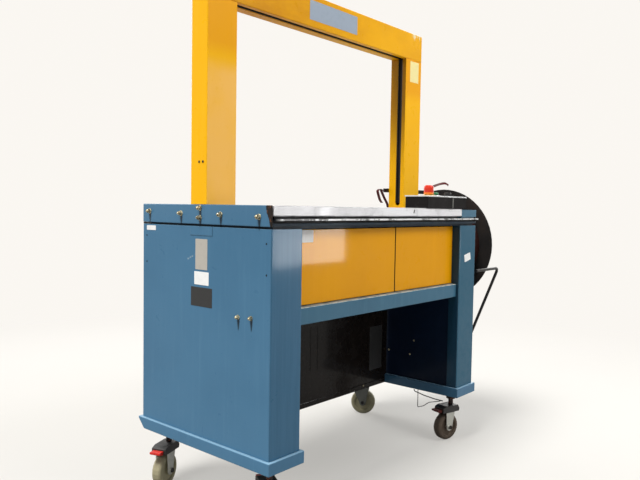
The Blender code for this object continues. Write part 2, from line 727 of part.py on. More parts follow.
def make_controls():
    """The control box at the front right of the table, its lid, two buttons and a knob."""
    bottom = TABLE + GAP
    top = bottom + BOX_HEIGHT
    low = (BOX_LEFT, BOX_FRONT, bottom)
    high = (BOX_LEFT + BOX_LENGTH, BOX_FRONT + BOX_DEPTH, top)
    box = piece("control_box", block(low, high), "black", edge=0.0015)
    wall = Vector((0.0025, 0.0025, 0.0025))
    inside = block(Vector(low) + wall - Vector((0, 0, 0.02)), Vector(high) - wall)
    combine(box, inside, "DIFFERENCE", "inside")
    lid_low = (low[0] - LID_PROUD, low[1] - LID_PROUD, top + GAP)
    lid_high = (high[0] + LID_PROUD, high[1] + LID_PROUD, top + GAP + LID_HEIGHT)
    lid = piece("control_box_lid", block(lid_low, lid_high), "steel", edge=0.001)
    for number, x in enumerate((STOP_X, START_X, KNOB_X)):
        combine(box, button_hole(x, 0.006, top - 0.01, top + 0.01), "DIFFERENCE", f"hole_{number}")
        combine(lid, button_hole(x, 0.006, top - 0.01, top + 0.02), "DIFFERENCE", f"hole_{number}")
    push_button("emergency_stop_button", STOP_X, STOP_RADIUS, 0.031, "red", 0.010)
    push_button("start_button", START_X, START_RADIUS, 0.007, "green", 0.002)
    lid_top = lid_high[2]
    profile = [(0, lid_top - 0.02), (0.006, lid_top - 0.02), (0.006, lid_top + 0.001), (KNOB_RADIUS, lid_top + 0.001)]
    profile += [(KNOB_RADIUS, lid_top + 0.012), (KNOB_RADIUS * 0.85, lid_top + 0.014), (0, lid_top + 0.014)]
    knob = piece("tension_knob", turned("z", (KNOB_X, CONTROL_Y), profile, 24), "black", (KNOB_X, CONTROL_Y, lid_top))
    pointer = block((KNOB_X - 0.0012, CONTROL_Y, lid_top + 0.0125), (KNOB_X + 0.0012, CONTROL_Y + 0.012, lid_top + 0.0152))
    join(knob, pointer)


def make_reel():
    """The dispenser: a bracket with its shaft, the spool, the strap wound on it, the outer flange and its knob."""
    centre = (REEL_Y, REEL_Z)
    face = LENGTH + GAP
    plate_end = face + BRACKET_SHEET
    low = (face, DANCER_PIVOT_Y - 0.025, DANCER_PIVOT_Z - 0.035)
    bracket = piece("dispenser_bracket", block(low, (plate_end, REEL_Y + 0.077, REEL_Z + 0.070)), "black", edge=0.0015)
    spool_start = LENGTH + SPOOL_GAP
    flange_end = spool_start + FLANGE_SHEET
    coil_end = flange_end + COIL_WIDTH
    outer_end = coil_end + FLANGE_SHEET
    shaft = [(0, plate_end - 0.002), (0.028, plate_end - 0.002), (0.028, plate_end + 0.006)]
    shaft += [(SHAFT_RADIUS, plate_end + 0.006), (SHAFT_RADIUS, outer_end + 0.020), (0, outer_end + 0.020)]
    boss = turned(
        "x",
        (DANCER_PIVOT_Y, DANCER_PIVOT_Z),
        [
            (ROD_RADIUS + RUNNING, plate_end - 0.001),
            (0.011, plate_end - 0.001),
            (0.011, plate_end + 0.028),
            (ROD_RADIUS + RUNNING, plate_end + 0.028),
        ],
        20,
    )
    join(bracket, turned("x", centre, shaft), boss)
    bore = SHAFT_RADIUS + RUNNING
    hub = 0.022
    spool = [
        (bore, plate_end + 0.0065),
        (hub, plate_end + 0.0065),
        (hub, spool_start),
        (INNER_FLANGE_RADIUS, spool_start),
        (INNER_FLANGE_RADIUS, flange_end),
        (DRUM_RADIUS, flange_end),
        (DRUM_RADIUS, coil_end - GAP),
        (DRUM_RADIUS - 0.003, coil_end - GAP),
        (DRUM_RADIUS - 0.003, flange_end + 0.002),
        (hub, flange_end + 0.002),
        (hub, coil_end - GAP),
        (bore, coil_end - GAP),
    ]
    piece("reel_spool", turned("x", centre, spool, 48), "black", (LENGTH, *centre))
    coil = [(DRUM_RADIUS + GAP, flange_end + GAP), (COIL_RADIUS, flange_end + GAP)]
    coil += [(COIL_RADIUS, coil_end - GAP), (DRUM_RADIUS + GAP, coil_end - GAP)]
    piece("strap_coil", turned("x", centre, coil, 48), "strap", (LENGTH, *centre))
    rim = OUTER_FLANGE_RADIUS
    outer = [(bore, coil_end), (rim - 0.002, coil_end), (rim, coil_end + 0.001), (rim, coil_end + 0.002)]
    outer += [(rim - 0.002, outer_end), (bore, outer_end)]
    flange = piece("outer_flange", turned("x", centre, outer, 56), "black", (LENGTH, *centre))
    for number in range(3):
        turn = math.radians(90 + 120 * number)
        hole = (REEL_Y + 0.062 * math.cos(turn), REEL_Z + 0.062 * math.sin(turn))
        combine(flange, rod("x", hole, 0.022, coil_end - 0.01, outer_end + 0.01, 20), "DIFFERENCE", f"hole_{number}")
    cap = outer_end + GAP
    knob = [(0, cap + 0.024), (bore, cap + 0.024), (bore, cap), (0.036, cap), (0.040, cap + 0.004)]
    knob += [(0.040, cap + 0.012), (0.034, cap + 0.017), (0.020, cap + 0.020), (0.019, cap + 0.036), (0, cap + 0.038)]
    piece("reel_lock_knob", turned("x", centre, knob, 32), "black", (LENGTH, *centre))


def make_dancer():
    """The bent rod that the strap pulls on: it turns in the boss at the foot of the bracket."""
    far = LENGTH + DANCER_REACH
    corners = [
        (LENGTH + 0.010, DANCER_PIVOT_Y, DANCER_PIVOT_Z),
        (far, DANCER_PIVOT_Y, DANCER_PIVOT_Z),
        (far, 0, DANCER_TOP_Z),
        (LENGTH + 0.012, 0, DANCER_TOP_Z),
    ]
    shape = swept(bent_path(corners, 0.021), ROD_RADIUS, 12)
    piece("dancer_rod", shape, "black", (LENGTH, DANCER_PIVOT_Y, DANCER_PIVOT_Z))


def fork_shapes(braked):
    """The solids of one fork about its stem, its wheel trailing towards +x."""
    half = WHEEL_WIDTH / 2
    plate_low = half + 0.003
    plate_high = plate_low + 0.003
    hub = (TRAIL, WHEEL_RADIUS)
    if braked:
        cap = [(-0.022, 0.106), (-0.024, 0.116), (-0.016, FORK_TOP), (0.042, FORK_TOP), (0.058, 0.124), (0.058, 0.106)]
    else:
        cap = [(-0.026, 0.106), (-0.026, FORK_TOP), (0.026, FORK_TOP), (0.034, 0.106)]
    shapes = [prism(rounded(cap[::-1], 0.003, 2), "y", -plate_high - 0.0015, plate_high + 0.0015)]
    reach = 0.014
    spread = (-0.002, 0.040) if braked else (-0.018, 0.048)
    arm = [(spread[0], 0.110), *circle(hub, reach, 24, 180, 180), (spread[1], 0.110)]
    for low, high in ((-plate_high, -plate_low), (plate_low, plate_high)):
        shapes.append(prism(arm, "y", low, high))
    end = plate_high + 0.004
    head = [(0, -end), (0.008, -end), (0.008, -plate_high + 0.001), (AXLE_RADIUS, -plate_high + 0.001)]
    head += [(AXLE_RADIUS, plate_high - 0.001), (0.008, plate_high - 0.001), (0.008, end), (0, end)]
    shapes.append(turned("y", hub, head, 16))
    return shapes


def wheel_shape():
    """A tyre on a narrow-waisted hub, bored for the axle."""
    half = WHEEL_WIDTH / 2
    r = WHEEL_RADIUS
    flank = [(r, half - 0.007), (r - 0.003, half - 0.002), (r - 0.008, half), (r - 0.015, half)]
    hub = [(r - 0.018, half - 0.005), (0.012, half - 0.005), (0.012, half + 0.0023)]
    side = flank + hub
    bore = AXLE_RADIUS + RUNNING
    profile = [(radius, at) for radius, at in side] + [(bore, half + 0.0023), (bore, -half - 0.0023)]
    profile += [(radius, -at) for radius, at in side[::-1]]
    return turned("y", (0, 0), profile, 24)


def frozen(made):
    """The mesh of an object as its modifiers leave it, for the copies to share."""
    graph = bpy.context.evaluated_depsgraph_get()
    return bpy.data.meshes.new_from_object(made.evaluated_get(graph))


def caster_part(name, mesh, at, heading):
    made = bpy.data.objects.new(name, mesh)
    bpy.context.scene.collection.objects.link(made)
    made.parent = MACHINE
    made.location = at
    made.rotation_euler = (0, 0, math.radians(heading))


def make_casters():
    """Four swivel casters, three of them with a brake pedal, each turned its own way."""
    places = {
        "front_left": (CASTER_INSET_X, CASTER_FRONT_Y, 60, True),
        "rear_left": (CASTER_INSET_X, CASTER_REAR_Y, 202, True),
        "front_right": (LENGTH - CASTER_INSET_X, CASTER_FRONT_Y, 164, True),
        "rear_right": (LENGTH - CASTER_INSET_X, CASTER_REAR_Y, 300, False),
    }
    patterns = {}
    for braked in (True, False):
        shapes = fork_shapes(braked)
        pattern = piece("fork_pattern" if braked else "plain_fork_pattern", shapes[0], "black")
        pattern.hide_render = True
        pattern.display_type = "WIRE"
        join(pattern, *shapes[1:])
        bpy.context.view_layer.update()
        patterns[braked] = frozen(pattern)
    wheel = bpy.data.meshes.new("caster_wheel")
    shape = wheel_shape()
    shape.to_mesh(wheel)
    shape.free()
    wheel.materials.append(material("tyre"))
    wheel.shade_smooth()
    wheel.set_sharp_from_angle(angle=math.radians(35))
    low = PEDAL_START
    middle = PEDAL_Z
    lever = [(low, middle), (low + 0.002, middle - 0.006), (low + 0.016, middle - 0.004), (low + 0.022, middle)]
    lever += [(low + 0.021, middle + 0.005), (low, middle + 0.005)]
    pedal = bpy.data.meshes.new("brake_pedal")
    shape = prism(lever, "y", -0.017, 0.017)
    bmesh.ops.translate(shape, verts=shape.verts, vec=(-low, 0, -middle))
    shape.to_mesh(pedal)
    shape.free()
    pedal.materials.append(material("red"))
    for name, (x, y, heading, braked) in places.items():
        turn = math.radians(heading)
        ahead = Vector((math.cos(turn), math.sin(turn), 0))
        stem = Vector((x, y, 0))
        caster_part(f"{name}_fork", patterns[braked], stem, heading)
        caster_part(f"{name}_wheel", wheel, stem + ahead * TRAIL + Vector((0, 0, WHEEL_RADIUS)), heading)
        if braked:
            caster_part(f"{name}_brake_pedal", pedal, stem + ahead * low + Vector((0, 0, middle)), heading)


def make_wire_bracket():
    """Two bent wires under the right column, hooked into its base rail beside the front caster."""
    x = INNER_RIGHT - SKIRT_PROUD + 0.0015
    top = BASE_BOTTOM - GAP
    cable = [(x, 0.176, top - 0.002), (x, 0.172, 0.1685), (x, 0.130, 0.1605), (x, 0.085, 0.1560), (x, 0.050, 0.1555)]
    hanger = [(x, 0.158, top), (x, 0.158, 0.110), (x, 0.132, 0.120), (x, 0.109, 0.1380), (x, 0.060, 0.1530)]
    wire = piece("wire_bracket", swept(bent_path(hanger, 0.003, 2), 0.0014, 8), "black")
    join(wire, swept(bent_path(cable, 0.004, 2), 0.0020, 8))


def hull_of_circles(one, radius_one, two, radius_two, steps=16):
    """The outline of a belt over two round pulleys: two arcs joined by their outer tangents."""
    span = Vector(two) - Vector(one)
    base = math.degrees(math.atan2(span.y, span.x))
    lean = math.degrees(math.acos((radius_one - radius_two) / span.length))
    far = circle(two, radius_two, steps * 2, base - lean, 2 * lean)
    near = circle(one, radius_one, steps * 2, base + lean, 360 - 2 * lean)
    return far + near


def make_head():
    """The head frame with its two side plates, the slide plate on top and the cam shaft between them."""
    front = (ARCH_Y - 0.0078, ARCH_Y - 0.0078 + PLATE)
    back = (ARCH_Y + 0.0682, ARCH_Y + 0.0682 + PLATE)
    right = HEAD_LEFT + HEAD_LENGTH
    shoulder = HEAD_LEFT + HEAD_TOP_LENGTH
    top = TABLE - 0.006
    side = [
        (HEAD_LEFT, HEAD_BOTTOM),
        (right, HEAD_BOTTOM),
        (right, 0.795),
        (shoulder, 0.815),
        (shoulder, top),
        (HEAD_LEFT, top),
    ]
    frame = piece("head_frame", prism(side, "y", *front), "casting")
    joined = [
        prism(side, "y", *back),
        block((HEAD_LEFT, front[0], HEAD_BOTTOM), (right, back[1], HEAD_BOTTOM + PLATE)),
        block((HEAD_LEFT + 0.02, front[0], FLOOR_TOP + GAP), (right - 0.12, KICK_Y - 0.005, HEAD_BOTTOM + 0.001)),
        block((HEAD_LEFT, front[0], 0.820), (HEAD_LEFT + PLATE, back[1], top)),
    ]
    join(frame, *joined)
    holes = ((CAM_X, CAM_Z, 0.008), (ROLLER_X, FEED_Z, 0.006), (ROLLER_X, pinch_z(), 0.006))
    for number, (x, z, radius) in enumerate(holes):
        hole = rod("y", (x, z), radius + RUNNING, front[0] - 0.01, back[1] + 0.01, 20)
        combine(frame, hole, "DIFFERENCE", f"hole_{number}")
    slide_y = ARCH_Y - 0.0073
    low = (CAM_X - SLIDE_LENGTH / 2, slide_y, top + GAP)
    slide = block(low, (CAM_X + SLIDE_LENGTH / 2, slide_y + SLIDE_WIDTH, TABLE - 0.0005), 0.002)
    piece("slide_plate", slide, "steel", low)
    return front, back


def pinch_z():
    return FEED_Z - FEED_RADIUS - PINCH_RADIUS - RUNNING


def make_drive(front, back):
    """Cam shaft with its pulley, feed rollers, motor, motor pulley, belt and the electrics box."""
    pulley_y = (back[1] + 0.012, back[1] + 0.030)
    shaft = piece("cam_shaft", rod("y", (CAM_X, CAM_Z), 0.008, front[0] - 0.006, pulley_y[1], 24), "casting",
                  (CAM_X, 0, CAM_Z))
    cams = []
    for number in range(3):
        turn = math.radians(120 * number)
        centre = (CAM_X + 0.006 * math.cos(turn), CAM_Z + 0.006 * math.sin(turn))
        low = front[1] + 0.006 + 0.018 * number
        cams.append(rod("y", centre, 0.028, low, low + 0.010, 28))
    join(shaft, *cams, rod("y", (CAM_X, CAM_Z), CAM_PULLEY_RADIUS, *pulley_y, 40))
    for name, z, radius in (("feed_roller", FEED_Z, FEED_RADIUS), ("pinch_roller", pinch_z(), PINCH_RADIUS)):
        low, high = front[1] + 0.014, back[0] - 0.014
        profile = [(0, front[0] + 0.001), (0.006, front[0] + 0.001), (0.006, low), (radius, low), (radius, high)]
        profile += [(0.006, high), (0.006, back[1] - 0.001), (0, back[1] - 0.001)]
        piece(name, turned("y", (ROLLER_X, z), profile, 28), "casting", (ROLLER_X, 0, z))
    motor_y = (0.190, back[1] - 0.004)
    body = [(0, motor_y[0]), (0.040, motor_y[0]), (0.045, motor_y[0] + 0.006), (0.045, motor_y[1] - 0.006)]
    body += [(0.040, motor_y[1]), (0.007, motor_y[1]), (0.007, pulley_y[0] - 0.004), (0, pulley_y[0] - 0.004)]
    motor = piece("drive_motor", turned("y", (MOTOR_X, MOTOR_Z), body, 32), "motor")
    foot_y = (motor_y[0] + 0.015, motor_y[1] - 0.015)
    foot = block((MOTOR_X - 0.040, foot_y[0], FLOOR_TOP + GAP), (MOTOR_X + 0.040, foot_y[1], MOTOR_Z - 0.038))
    join(motor, foot, block((MOTOR_X - 0.02, foot_y[0], MOTOR_Z + 0.03), (MOTOR_X + 0.02, foot_y[1] - 0.03, MOTOR_Z + 0.062)))
    profile = [(0, pulley_y[0] - 0.0035), (0.012, pulley_y[0] - 0.0035), (0.012, pulley_y[0])]
    profile += [(MOTOR_PULLEY_RADIUS, pulley_y[0]), (MOTOR_PULLEY_RADIUS, pulley_y[1]), (0, pulley_y[1])]
    piece("motor_pulley", turned("y", (MOTOR_X, MOTOR_Z), profile, 28), "casting", (MOTOR_X, 0, MOTOR_Z))
    inner = 0.0004
    outer = inner + BELT_THICKNESS
    ends = ((CAM_X, CAM_Z), (MOTOR_X, MOTOR_Z))
    low, high = pulley_y[0] + 0.003, pulley_y[1] - 0.003
    loops = [
        hull_of_circles(ends[0], CAM_PULLEY_RADIUS + extra, ends[1], MOTOR_PULLEY_RADIUS + extra, 20)
        for extra in (outer, inner)
    ]
    belt = piece("drive_belt", prism(loops[0], "y", low, high), "black")
    cut(belt, prism(loops[1], "y", low - 0.01, high + 0.01))
    box_low = (0.170, 0.100, FLOOR_TOP + GAP)
    electrics = piece("electrics_box", block(box_low, (0.360, 0.260, 0.700)), "casting", edge=0.002)
    join(electrics, block((0.166, 0.096, 0.684), (0.364, 0.264, 0.6875)), rod("z", (0.20, 0.23), 0.008, 0.69, 0.712, 16))


def centre_on_floor():
    """Moves the carrying empty so that the origin is on the floor under the middle of the whole machine."""
    bpy.context.view_layer.update()
    graph = bpy.context.evaluated_depsgraph_get()
    corners = []
    for made in bpy.data.objects:
        if made.type == "MESH" and not made.hide_render:
            evaluated = made.evaluated_get(graph)
            corners += [evaluated.matrix_world @ vertex.co for vertex in evaluated.data.vertices]
    for axis in (0, 1):
        values = [corner[axis] for corner in corners]
        MACHINE.location[axis] = -(min(values) + max(values)) / 2


clear_scene()
MACHINE = bpy.data.objects.new("machine", None)
bpy.context.scene.collection.objects.link(MACHINE)
make_columns()
make_base_rails()
make_top_frame()
make_table()
make_rails()
make_doors_and_covers()
make_arch()
make_loose_strap()
make_controls()
make_reel()
make_dancer()
make_casters()
make_wire_bracket()
make_drive(*make_head())
centre_on_floor()
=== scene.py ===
"""Looks for the arch strapping machine: paint, steel, plastic and rubber finishes on the CAD, and its small fittings.

Every measurement below is in metres from the machine's own corner: x from the left end face, y from the front
face and z from the floor. The CAD's left_band node starts at that corner, so its box places everything.
"""

import math

import bmesh
import bpy
import numpy as np
from mathutils import Matrix, Vector


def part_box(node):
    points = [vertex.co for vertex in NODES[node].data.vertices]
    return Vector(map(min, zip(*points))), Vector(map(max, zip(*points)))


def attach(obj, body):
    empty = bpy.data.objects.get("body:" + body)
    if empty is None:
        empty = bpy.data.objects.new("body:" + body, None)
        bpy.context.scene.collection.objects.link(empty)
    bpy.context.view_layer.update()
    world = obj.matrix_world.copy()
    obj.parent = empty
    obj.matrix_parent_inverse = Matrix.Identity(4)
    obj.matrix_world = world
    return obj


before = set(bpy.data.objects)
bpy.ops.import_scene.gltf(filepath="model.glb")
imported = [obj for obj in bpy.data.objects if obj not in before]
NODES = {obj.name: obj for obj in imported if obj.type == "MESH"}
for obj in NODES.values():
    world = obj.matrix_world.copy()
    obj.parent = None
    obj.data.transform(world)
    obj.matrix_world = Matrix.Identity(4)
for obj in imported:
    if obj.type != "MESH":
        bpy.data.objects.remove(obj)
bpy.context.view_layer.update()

CORNER = np.array([*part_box("left_band")[0][:2], 0.0])
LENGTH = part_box("right_arch_leg")[1][0] - CORNER[0]
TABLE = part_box("front_table_plate")[1][2]
DOOR_SEAM = (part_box("left_door")[1][0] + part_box("right_door")[0][0]) / 2 - CORNER[0]
BASE_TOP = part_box("left_base_rail")[1][2]


def at(x, y, z):
    """A place on the machine in the frame's own coordinates."""
    return CORNER + np.array([x, y, z])


# Node trees ------------------------------------------------------------------------------------------------


class Finish:
    """A procedural material: one Principled shader, fed by noise and masks read from object coordinates."""

    def __init__(self, name, colour, roughness, metallic=0.0, **extra):
        """The shader in one colour; extra names its other sockets, with underscores for spaces."""
        self.material = bpy.data.materials.new(name)
        self.material.use_nodes = True
        self.tree = self.material.node_tree
        self.shader = self.tree.nodes["Principled BSDF"]
        self.colour = (*colour, 1.0)
        self.shader.inputs["Base Color"].default_value = self.colour
        self.shader.inputs["Roughness"].default_value = roughness
        self.shader.inputs["Metallic"].default_value = metallic
        for socket, value in extra.items():
            self.shader.inputs[socket.replace("_", " ")].default_value = value
        self.place = self.tree.nodes.new("ShaderNodeTexCoord").outputs["Object"]
        self.normal = None

    def put(self, socket, value):
        """Links a socket, or sets a constant on it."""
        if isinstance(value, bpy.types.NodeSocket):
            self.tree.links.new(value, socket)
        else:
            socket.default_value = value

    def math(self, operation, first, second=0.0, clamp=False):
        """One Math node: the operation on two values."""
        node = self.tree.nodes.new("ShaderNodeMath")
        node.operation = operation
        node.use_clamp = clamp
        self.put(node.inputs[0], first)
        self.put(node.inputs[1], second)
        return node.outputs[0]

    def stretched(self, scale, move=(0.0, 0.0, 0.0)):
        """Object coordinates moved to a point and stretched, so that noise runs along one direction."""
        node = self.tree.nodes.new("ShaderNodeMapping")
        node.vector_type = "POINT"
        self.put(node.inputs["Vector"], self.place)
        node.inputs["Scale"].default_value = scale
        node.inputs["Location"].default_value = [-m * s for m, s in zip(move, scale)]
        return node.outputs[0]

    def noise(self, scale, detail=3.0, rough=0.5, vector=None, distortion=0.0):
        """A noise value between nought and one at this point, finer as the scale grows."""
        node = self.tree.nodes.new("ShaderNodeTexNoise")
        self.put(node.inputs["Vector"], vector or self.place)
        node.inputs["Scale"].default_value = scale
        node.inputs["Detail"].default_value = detail
        node.inputs["Roughness"].default_value = rough
        node.inputs["Distortion"].default_value = distortion
        return node.outputs["Fac"]

    def between(self, value, low, high, to_low=0.0, to_high=1.0):
        """The value rescaled from low..high to to_low..to_high, smoothly, and held there beyond."""
        node = self.tree.nodes.new("ShaderNodeMapRange")
        node.interpolation_type = "SMOOTHSTEP"
        self.put(node.inputs["Value"], value)
        node.inputs["From Min"].default_value = low
        node.inputs["From Max"].default_value = high
        node.inputs["To Min"].default_value = to_low
        node.inputs["To Max"].default_value = to_high
        return node.outputs[0]

    def axis(self, letter):
        """The machine's own x, y or z at this point."""
        node = self.tree.nodes.new("ShaderNodeSeparateXYZ")
        self.put(node.inputs[0], self.place)
        index = "xyz".index(letter)
        return self.math("SUBTRACT", node.outputs[index], float(CORNER[index]))

    def tint(self, mask, colour):
        """Lays a colour over what is there, where the mask is one."""
        node = self.tree.nodes.new("ShaderNodeMix")
        node.data_type = "RGBA"
        self.put(node.inputs[0], mask)
        self.put(node.inputs[6], self.colour)
        self.put(node.inputs[7], colour if isinstance(colour, bpy.types.NodeSocket) else (*colour, 1.0))
        self.colour = node.outputs[2]
        self.put(self.shader.inputs["Base Color"], self.colour)

    def rounded(self, radius):
        """Rounds the look of sharp edges by this radius."""
        node = self.tree.nodes.new("ShaderNodeBevel")
        node.samples = 4
        node.inputs["Radius"].default_value = radius
        self.normal = node.outputs[0]
        self.put(self.shader.inputs["Normal"], self.normal)

    def edge_mask(self, low, high):
        """One along sharp edges: how far the rounded normal leans from the surface's own."""
        facing = self.tree.nodes.new("ShaderNodeNewGeometry").outputs["True Normal"]
        node = self.tree.nodes.new("ShaderNodeVectorMath")
        node.operation = "DOT_PRODUCT"
        self.put(node.inputs[0], self.normal)
        self.put(node.inputs[1], facing)
        return self.between(self.math("SUBTRACT", 1.0, node.outputs["Value"]), low, high)

    def bump(self, height, strength, distance):
        """Tips the normal by the slope of a height value, on top of what it is already."""
        node = self.tree.nodes.new("ShaderNodeBump")
        node.inputs["Strength"].default_value = strength
        node.inputs["Distance"].default_value = distance
        self.put(node.inputs["Height"], height)
        if self.normal:
            self.put(node.inputs["Normal"], self.normal)
        self.normal = node.outputs[0]
        self.put(self.shader.inputs["Normal"], self.normal)

    def set(self, socket, value):
        """Links or sets one of the shader's own sockets."""
        self.put(self.shader.inputs[socket], value)


def painted(name, colour, shade, glow, roughness, edge, edge_light_and_wear=1.0, streak=0.35, coat=0.26, sheen=0.12):
    """Sprayed paint on sheet steel: cloudy depth, faint upright streaks, orange peel, chips, rubbed edges and a
    painted highlight along its edges.
    """
    made = Finish(name, colour, roughness, Coat_Weight=coat, Coat_Roughness=0.09, Specular_IOR_Level=sheen)
    made.tint(made.between(made.noise(3.0, 4.0, 0.55), 0.40, 0.72), shade)
    upright = made.noise(9.0, 4.0, 0.6, made.stretched((6.0, 6.0, 0.35)))
    made.tint(made.math("MULTIPLY", made.between(upright, 0.50, 0.78), streak), glow)
    smear = made.noise(26.0, 5.0, 0.65, distortion=0.6)
    made.set("Roughness", made.between(smear, 0.30, 0.75, roughness * 0.75, roughness * 1.45))
    made.rounded(0.0018)
    along_edge = made.edge_mask(0.01, 0.12)
    # Painted highlight along every edge, partly worn paint: a pale mix of glow and primer, scaled by the edge light
    # and wear weight.
    made.tint(made.math("MULTIPLY", along_edge, 0.45 * edge_light_and_wear), tuple(0.45 * c + 0.55 * e for c, e in zip(glow, edge)))
    rubbed = made.between(made.noise(70.0, 4.0, 0.7), 0.60, 0.72)
    made.tint(made.math("MULTIPLY", along_edge, rubbed), edge)
    chip = made.between(made.noise(95.0, 3.0, 0.62), 0.745, 0.765)
    chip = made.math("MULTIPLY", chip, made.between(made.noise(7.0, 2.0), 0.50, 0.62))
    made.tint(chip, edge)
    made.bump(made.noise(420.0, 2.0, 0.5), 0.05, 0.0004)
    return made


BLUE = (0.062, 0.172, 0.290)
BLUE_SHADE = (0.054, 0.155, 0.266)
BLUE_GLOW = (0.088, 0.212, 0.335)
# A darker copy of the blue for the right column, front rail and end block: painted shade.
POST_BLUE = (0.046, 0.142, 0.222)
POST_SHADE = (0.038, 0.122, 0.196)
POST_GLOW = (0.075, 0.190, 0.275)
PRIMER = (0.240, 0.370, 0.460)
YELLOW = (0.96, 0.490, 0.001)
YELLOW_SHADE = (0.93, 0.462, 0.001)
YELLOW_GLOW = (0.98, 0.530, 0.014)
GOLD = (0.80, 0.345, 0.001)
GOLD_SHADE = (0.76, 0.320, 0.001)
GOLD_GLOW = (0.84, 0.372, 0.003)
BARE_YELLOW = (0.55, 0.33, 0.08)


def steel(name, colour=(0.80, 0.80, 0.80), roughness=0.32, along=(1.0, 30.0, 30.0)):
    """Worn ground steel: fine lines along its length, cloudy stains and small dark scratches."""
    made = Finish(name, colour, roughness, 0.85)
    lines = made.noise(42.0, 4.0, 0.7, made.stretched(along))
    made.tint(made.between(lines, 0.40, 0.75, 0.0, 0.5), tuple(c * 0.72 for c in colour))
    cloud = made.noise(11.0, 5.0, 0.62, distortion=0.8)
    made.tint(made.between(cloud, 0.56, 0.78, 0.0, 0.55), tuple(c * 0.55 for c in colour))
    made.set("Roughness", made.between(cloud, 0.3, 0.7, roughness * 0.8, roughness * 1.5))
    made.rounded(0.0010)
    scratch = made.noise(160.0, 2.0, 0.5, made.stretched((1.0, 0.12, 0.5)))
    made.tint(made.between(scratch, 0.73, 0.77, 0.0, 0.6), (0.10, 0.09, 0.08))
    made.bump(lines, 0.10, 0.0003)
    return made


def moulded(name, colour, roughness, dust=(0.10, 0.09, 0.08), dusty=0.4, grain=300.0):
    """Moulded plastic or dull paint with a fine grain and dust in its hollows."""
    made = Finish(name, colour, roughness, Specular_IOR_Level=0.25)
    film = made.noise(8.0, 5.0, 0.6, distortion=0.5)
    made.tint(made.between(film, 0.45, 0.85, 0.0, dusty), dust)
    made.set("Roughness", made.between(film, 0.3, 0.7, roughness * 0.85, roughness * 1.3))
    made.rounded(0.0008)
    made.bump(made.noise(grain, 3.0, 0.6), 0.12, 0.0004)
    return made


def assign(finish, *names):
    """Gives every slot of these CAD nodes this finish."""
    for name in names:
        node = NODES[name]
        if not node.material_slots:
            node.data.materials.append(finish.material)
        for slot in node.material_slots:
            slot.material = finish.material


BAND_BOLTS = ((0.520, 0.846), (0.368, 0.842), (0.2826, 0.858), (0.2823, 0.831), (0.195, 0.841), (0.046, 0.838))
PANEL_BOLTS = ((0.1215, 0.571), (0.0715, 0.5735))


def paint_bolt_shadows(finish, places, length):
    """A painted shadow below each bolt on the end panel: a dark narrow wedge of this length below it."""
    for y, z in places:
        below = finish.math("SUBTRACT", z - 0.004, finish.axis("z"))
        aside = finish.math("ABSOLUTE", finish.math("SUBTRACT", finish.axis("y"), y - 0.0015))
        width = finish.between(below, 0.0, length, 0.0042, 0.0012)
        mark = finish.between(finish.math("SUBTRACT", aside, width), -0.0004, 0.0012, 1.0, 0.0)
        mark = finish.math("MULTIPLY", mark, finish.between(below, -0.001, 0.001))
        mark = finish.math("MULTIPLY", mark, finish.between(below, length * 0.75, length, 0.88, 0.0))
        mark = finish.math("MULTIPLY", mark, finish.between(finish.axis("x"), 0.0040, 0.0060, 1.0, 0.0))
        finish.tint(mark, (0.010, 0.020, 0.030))


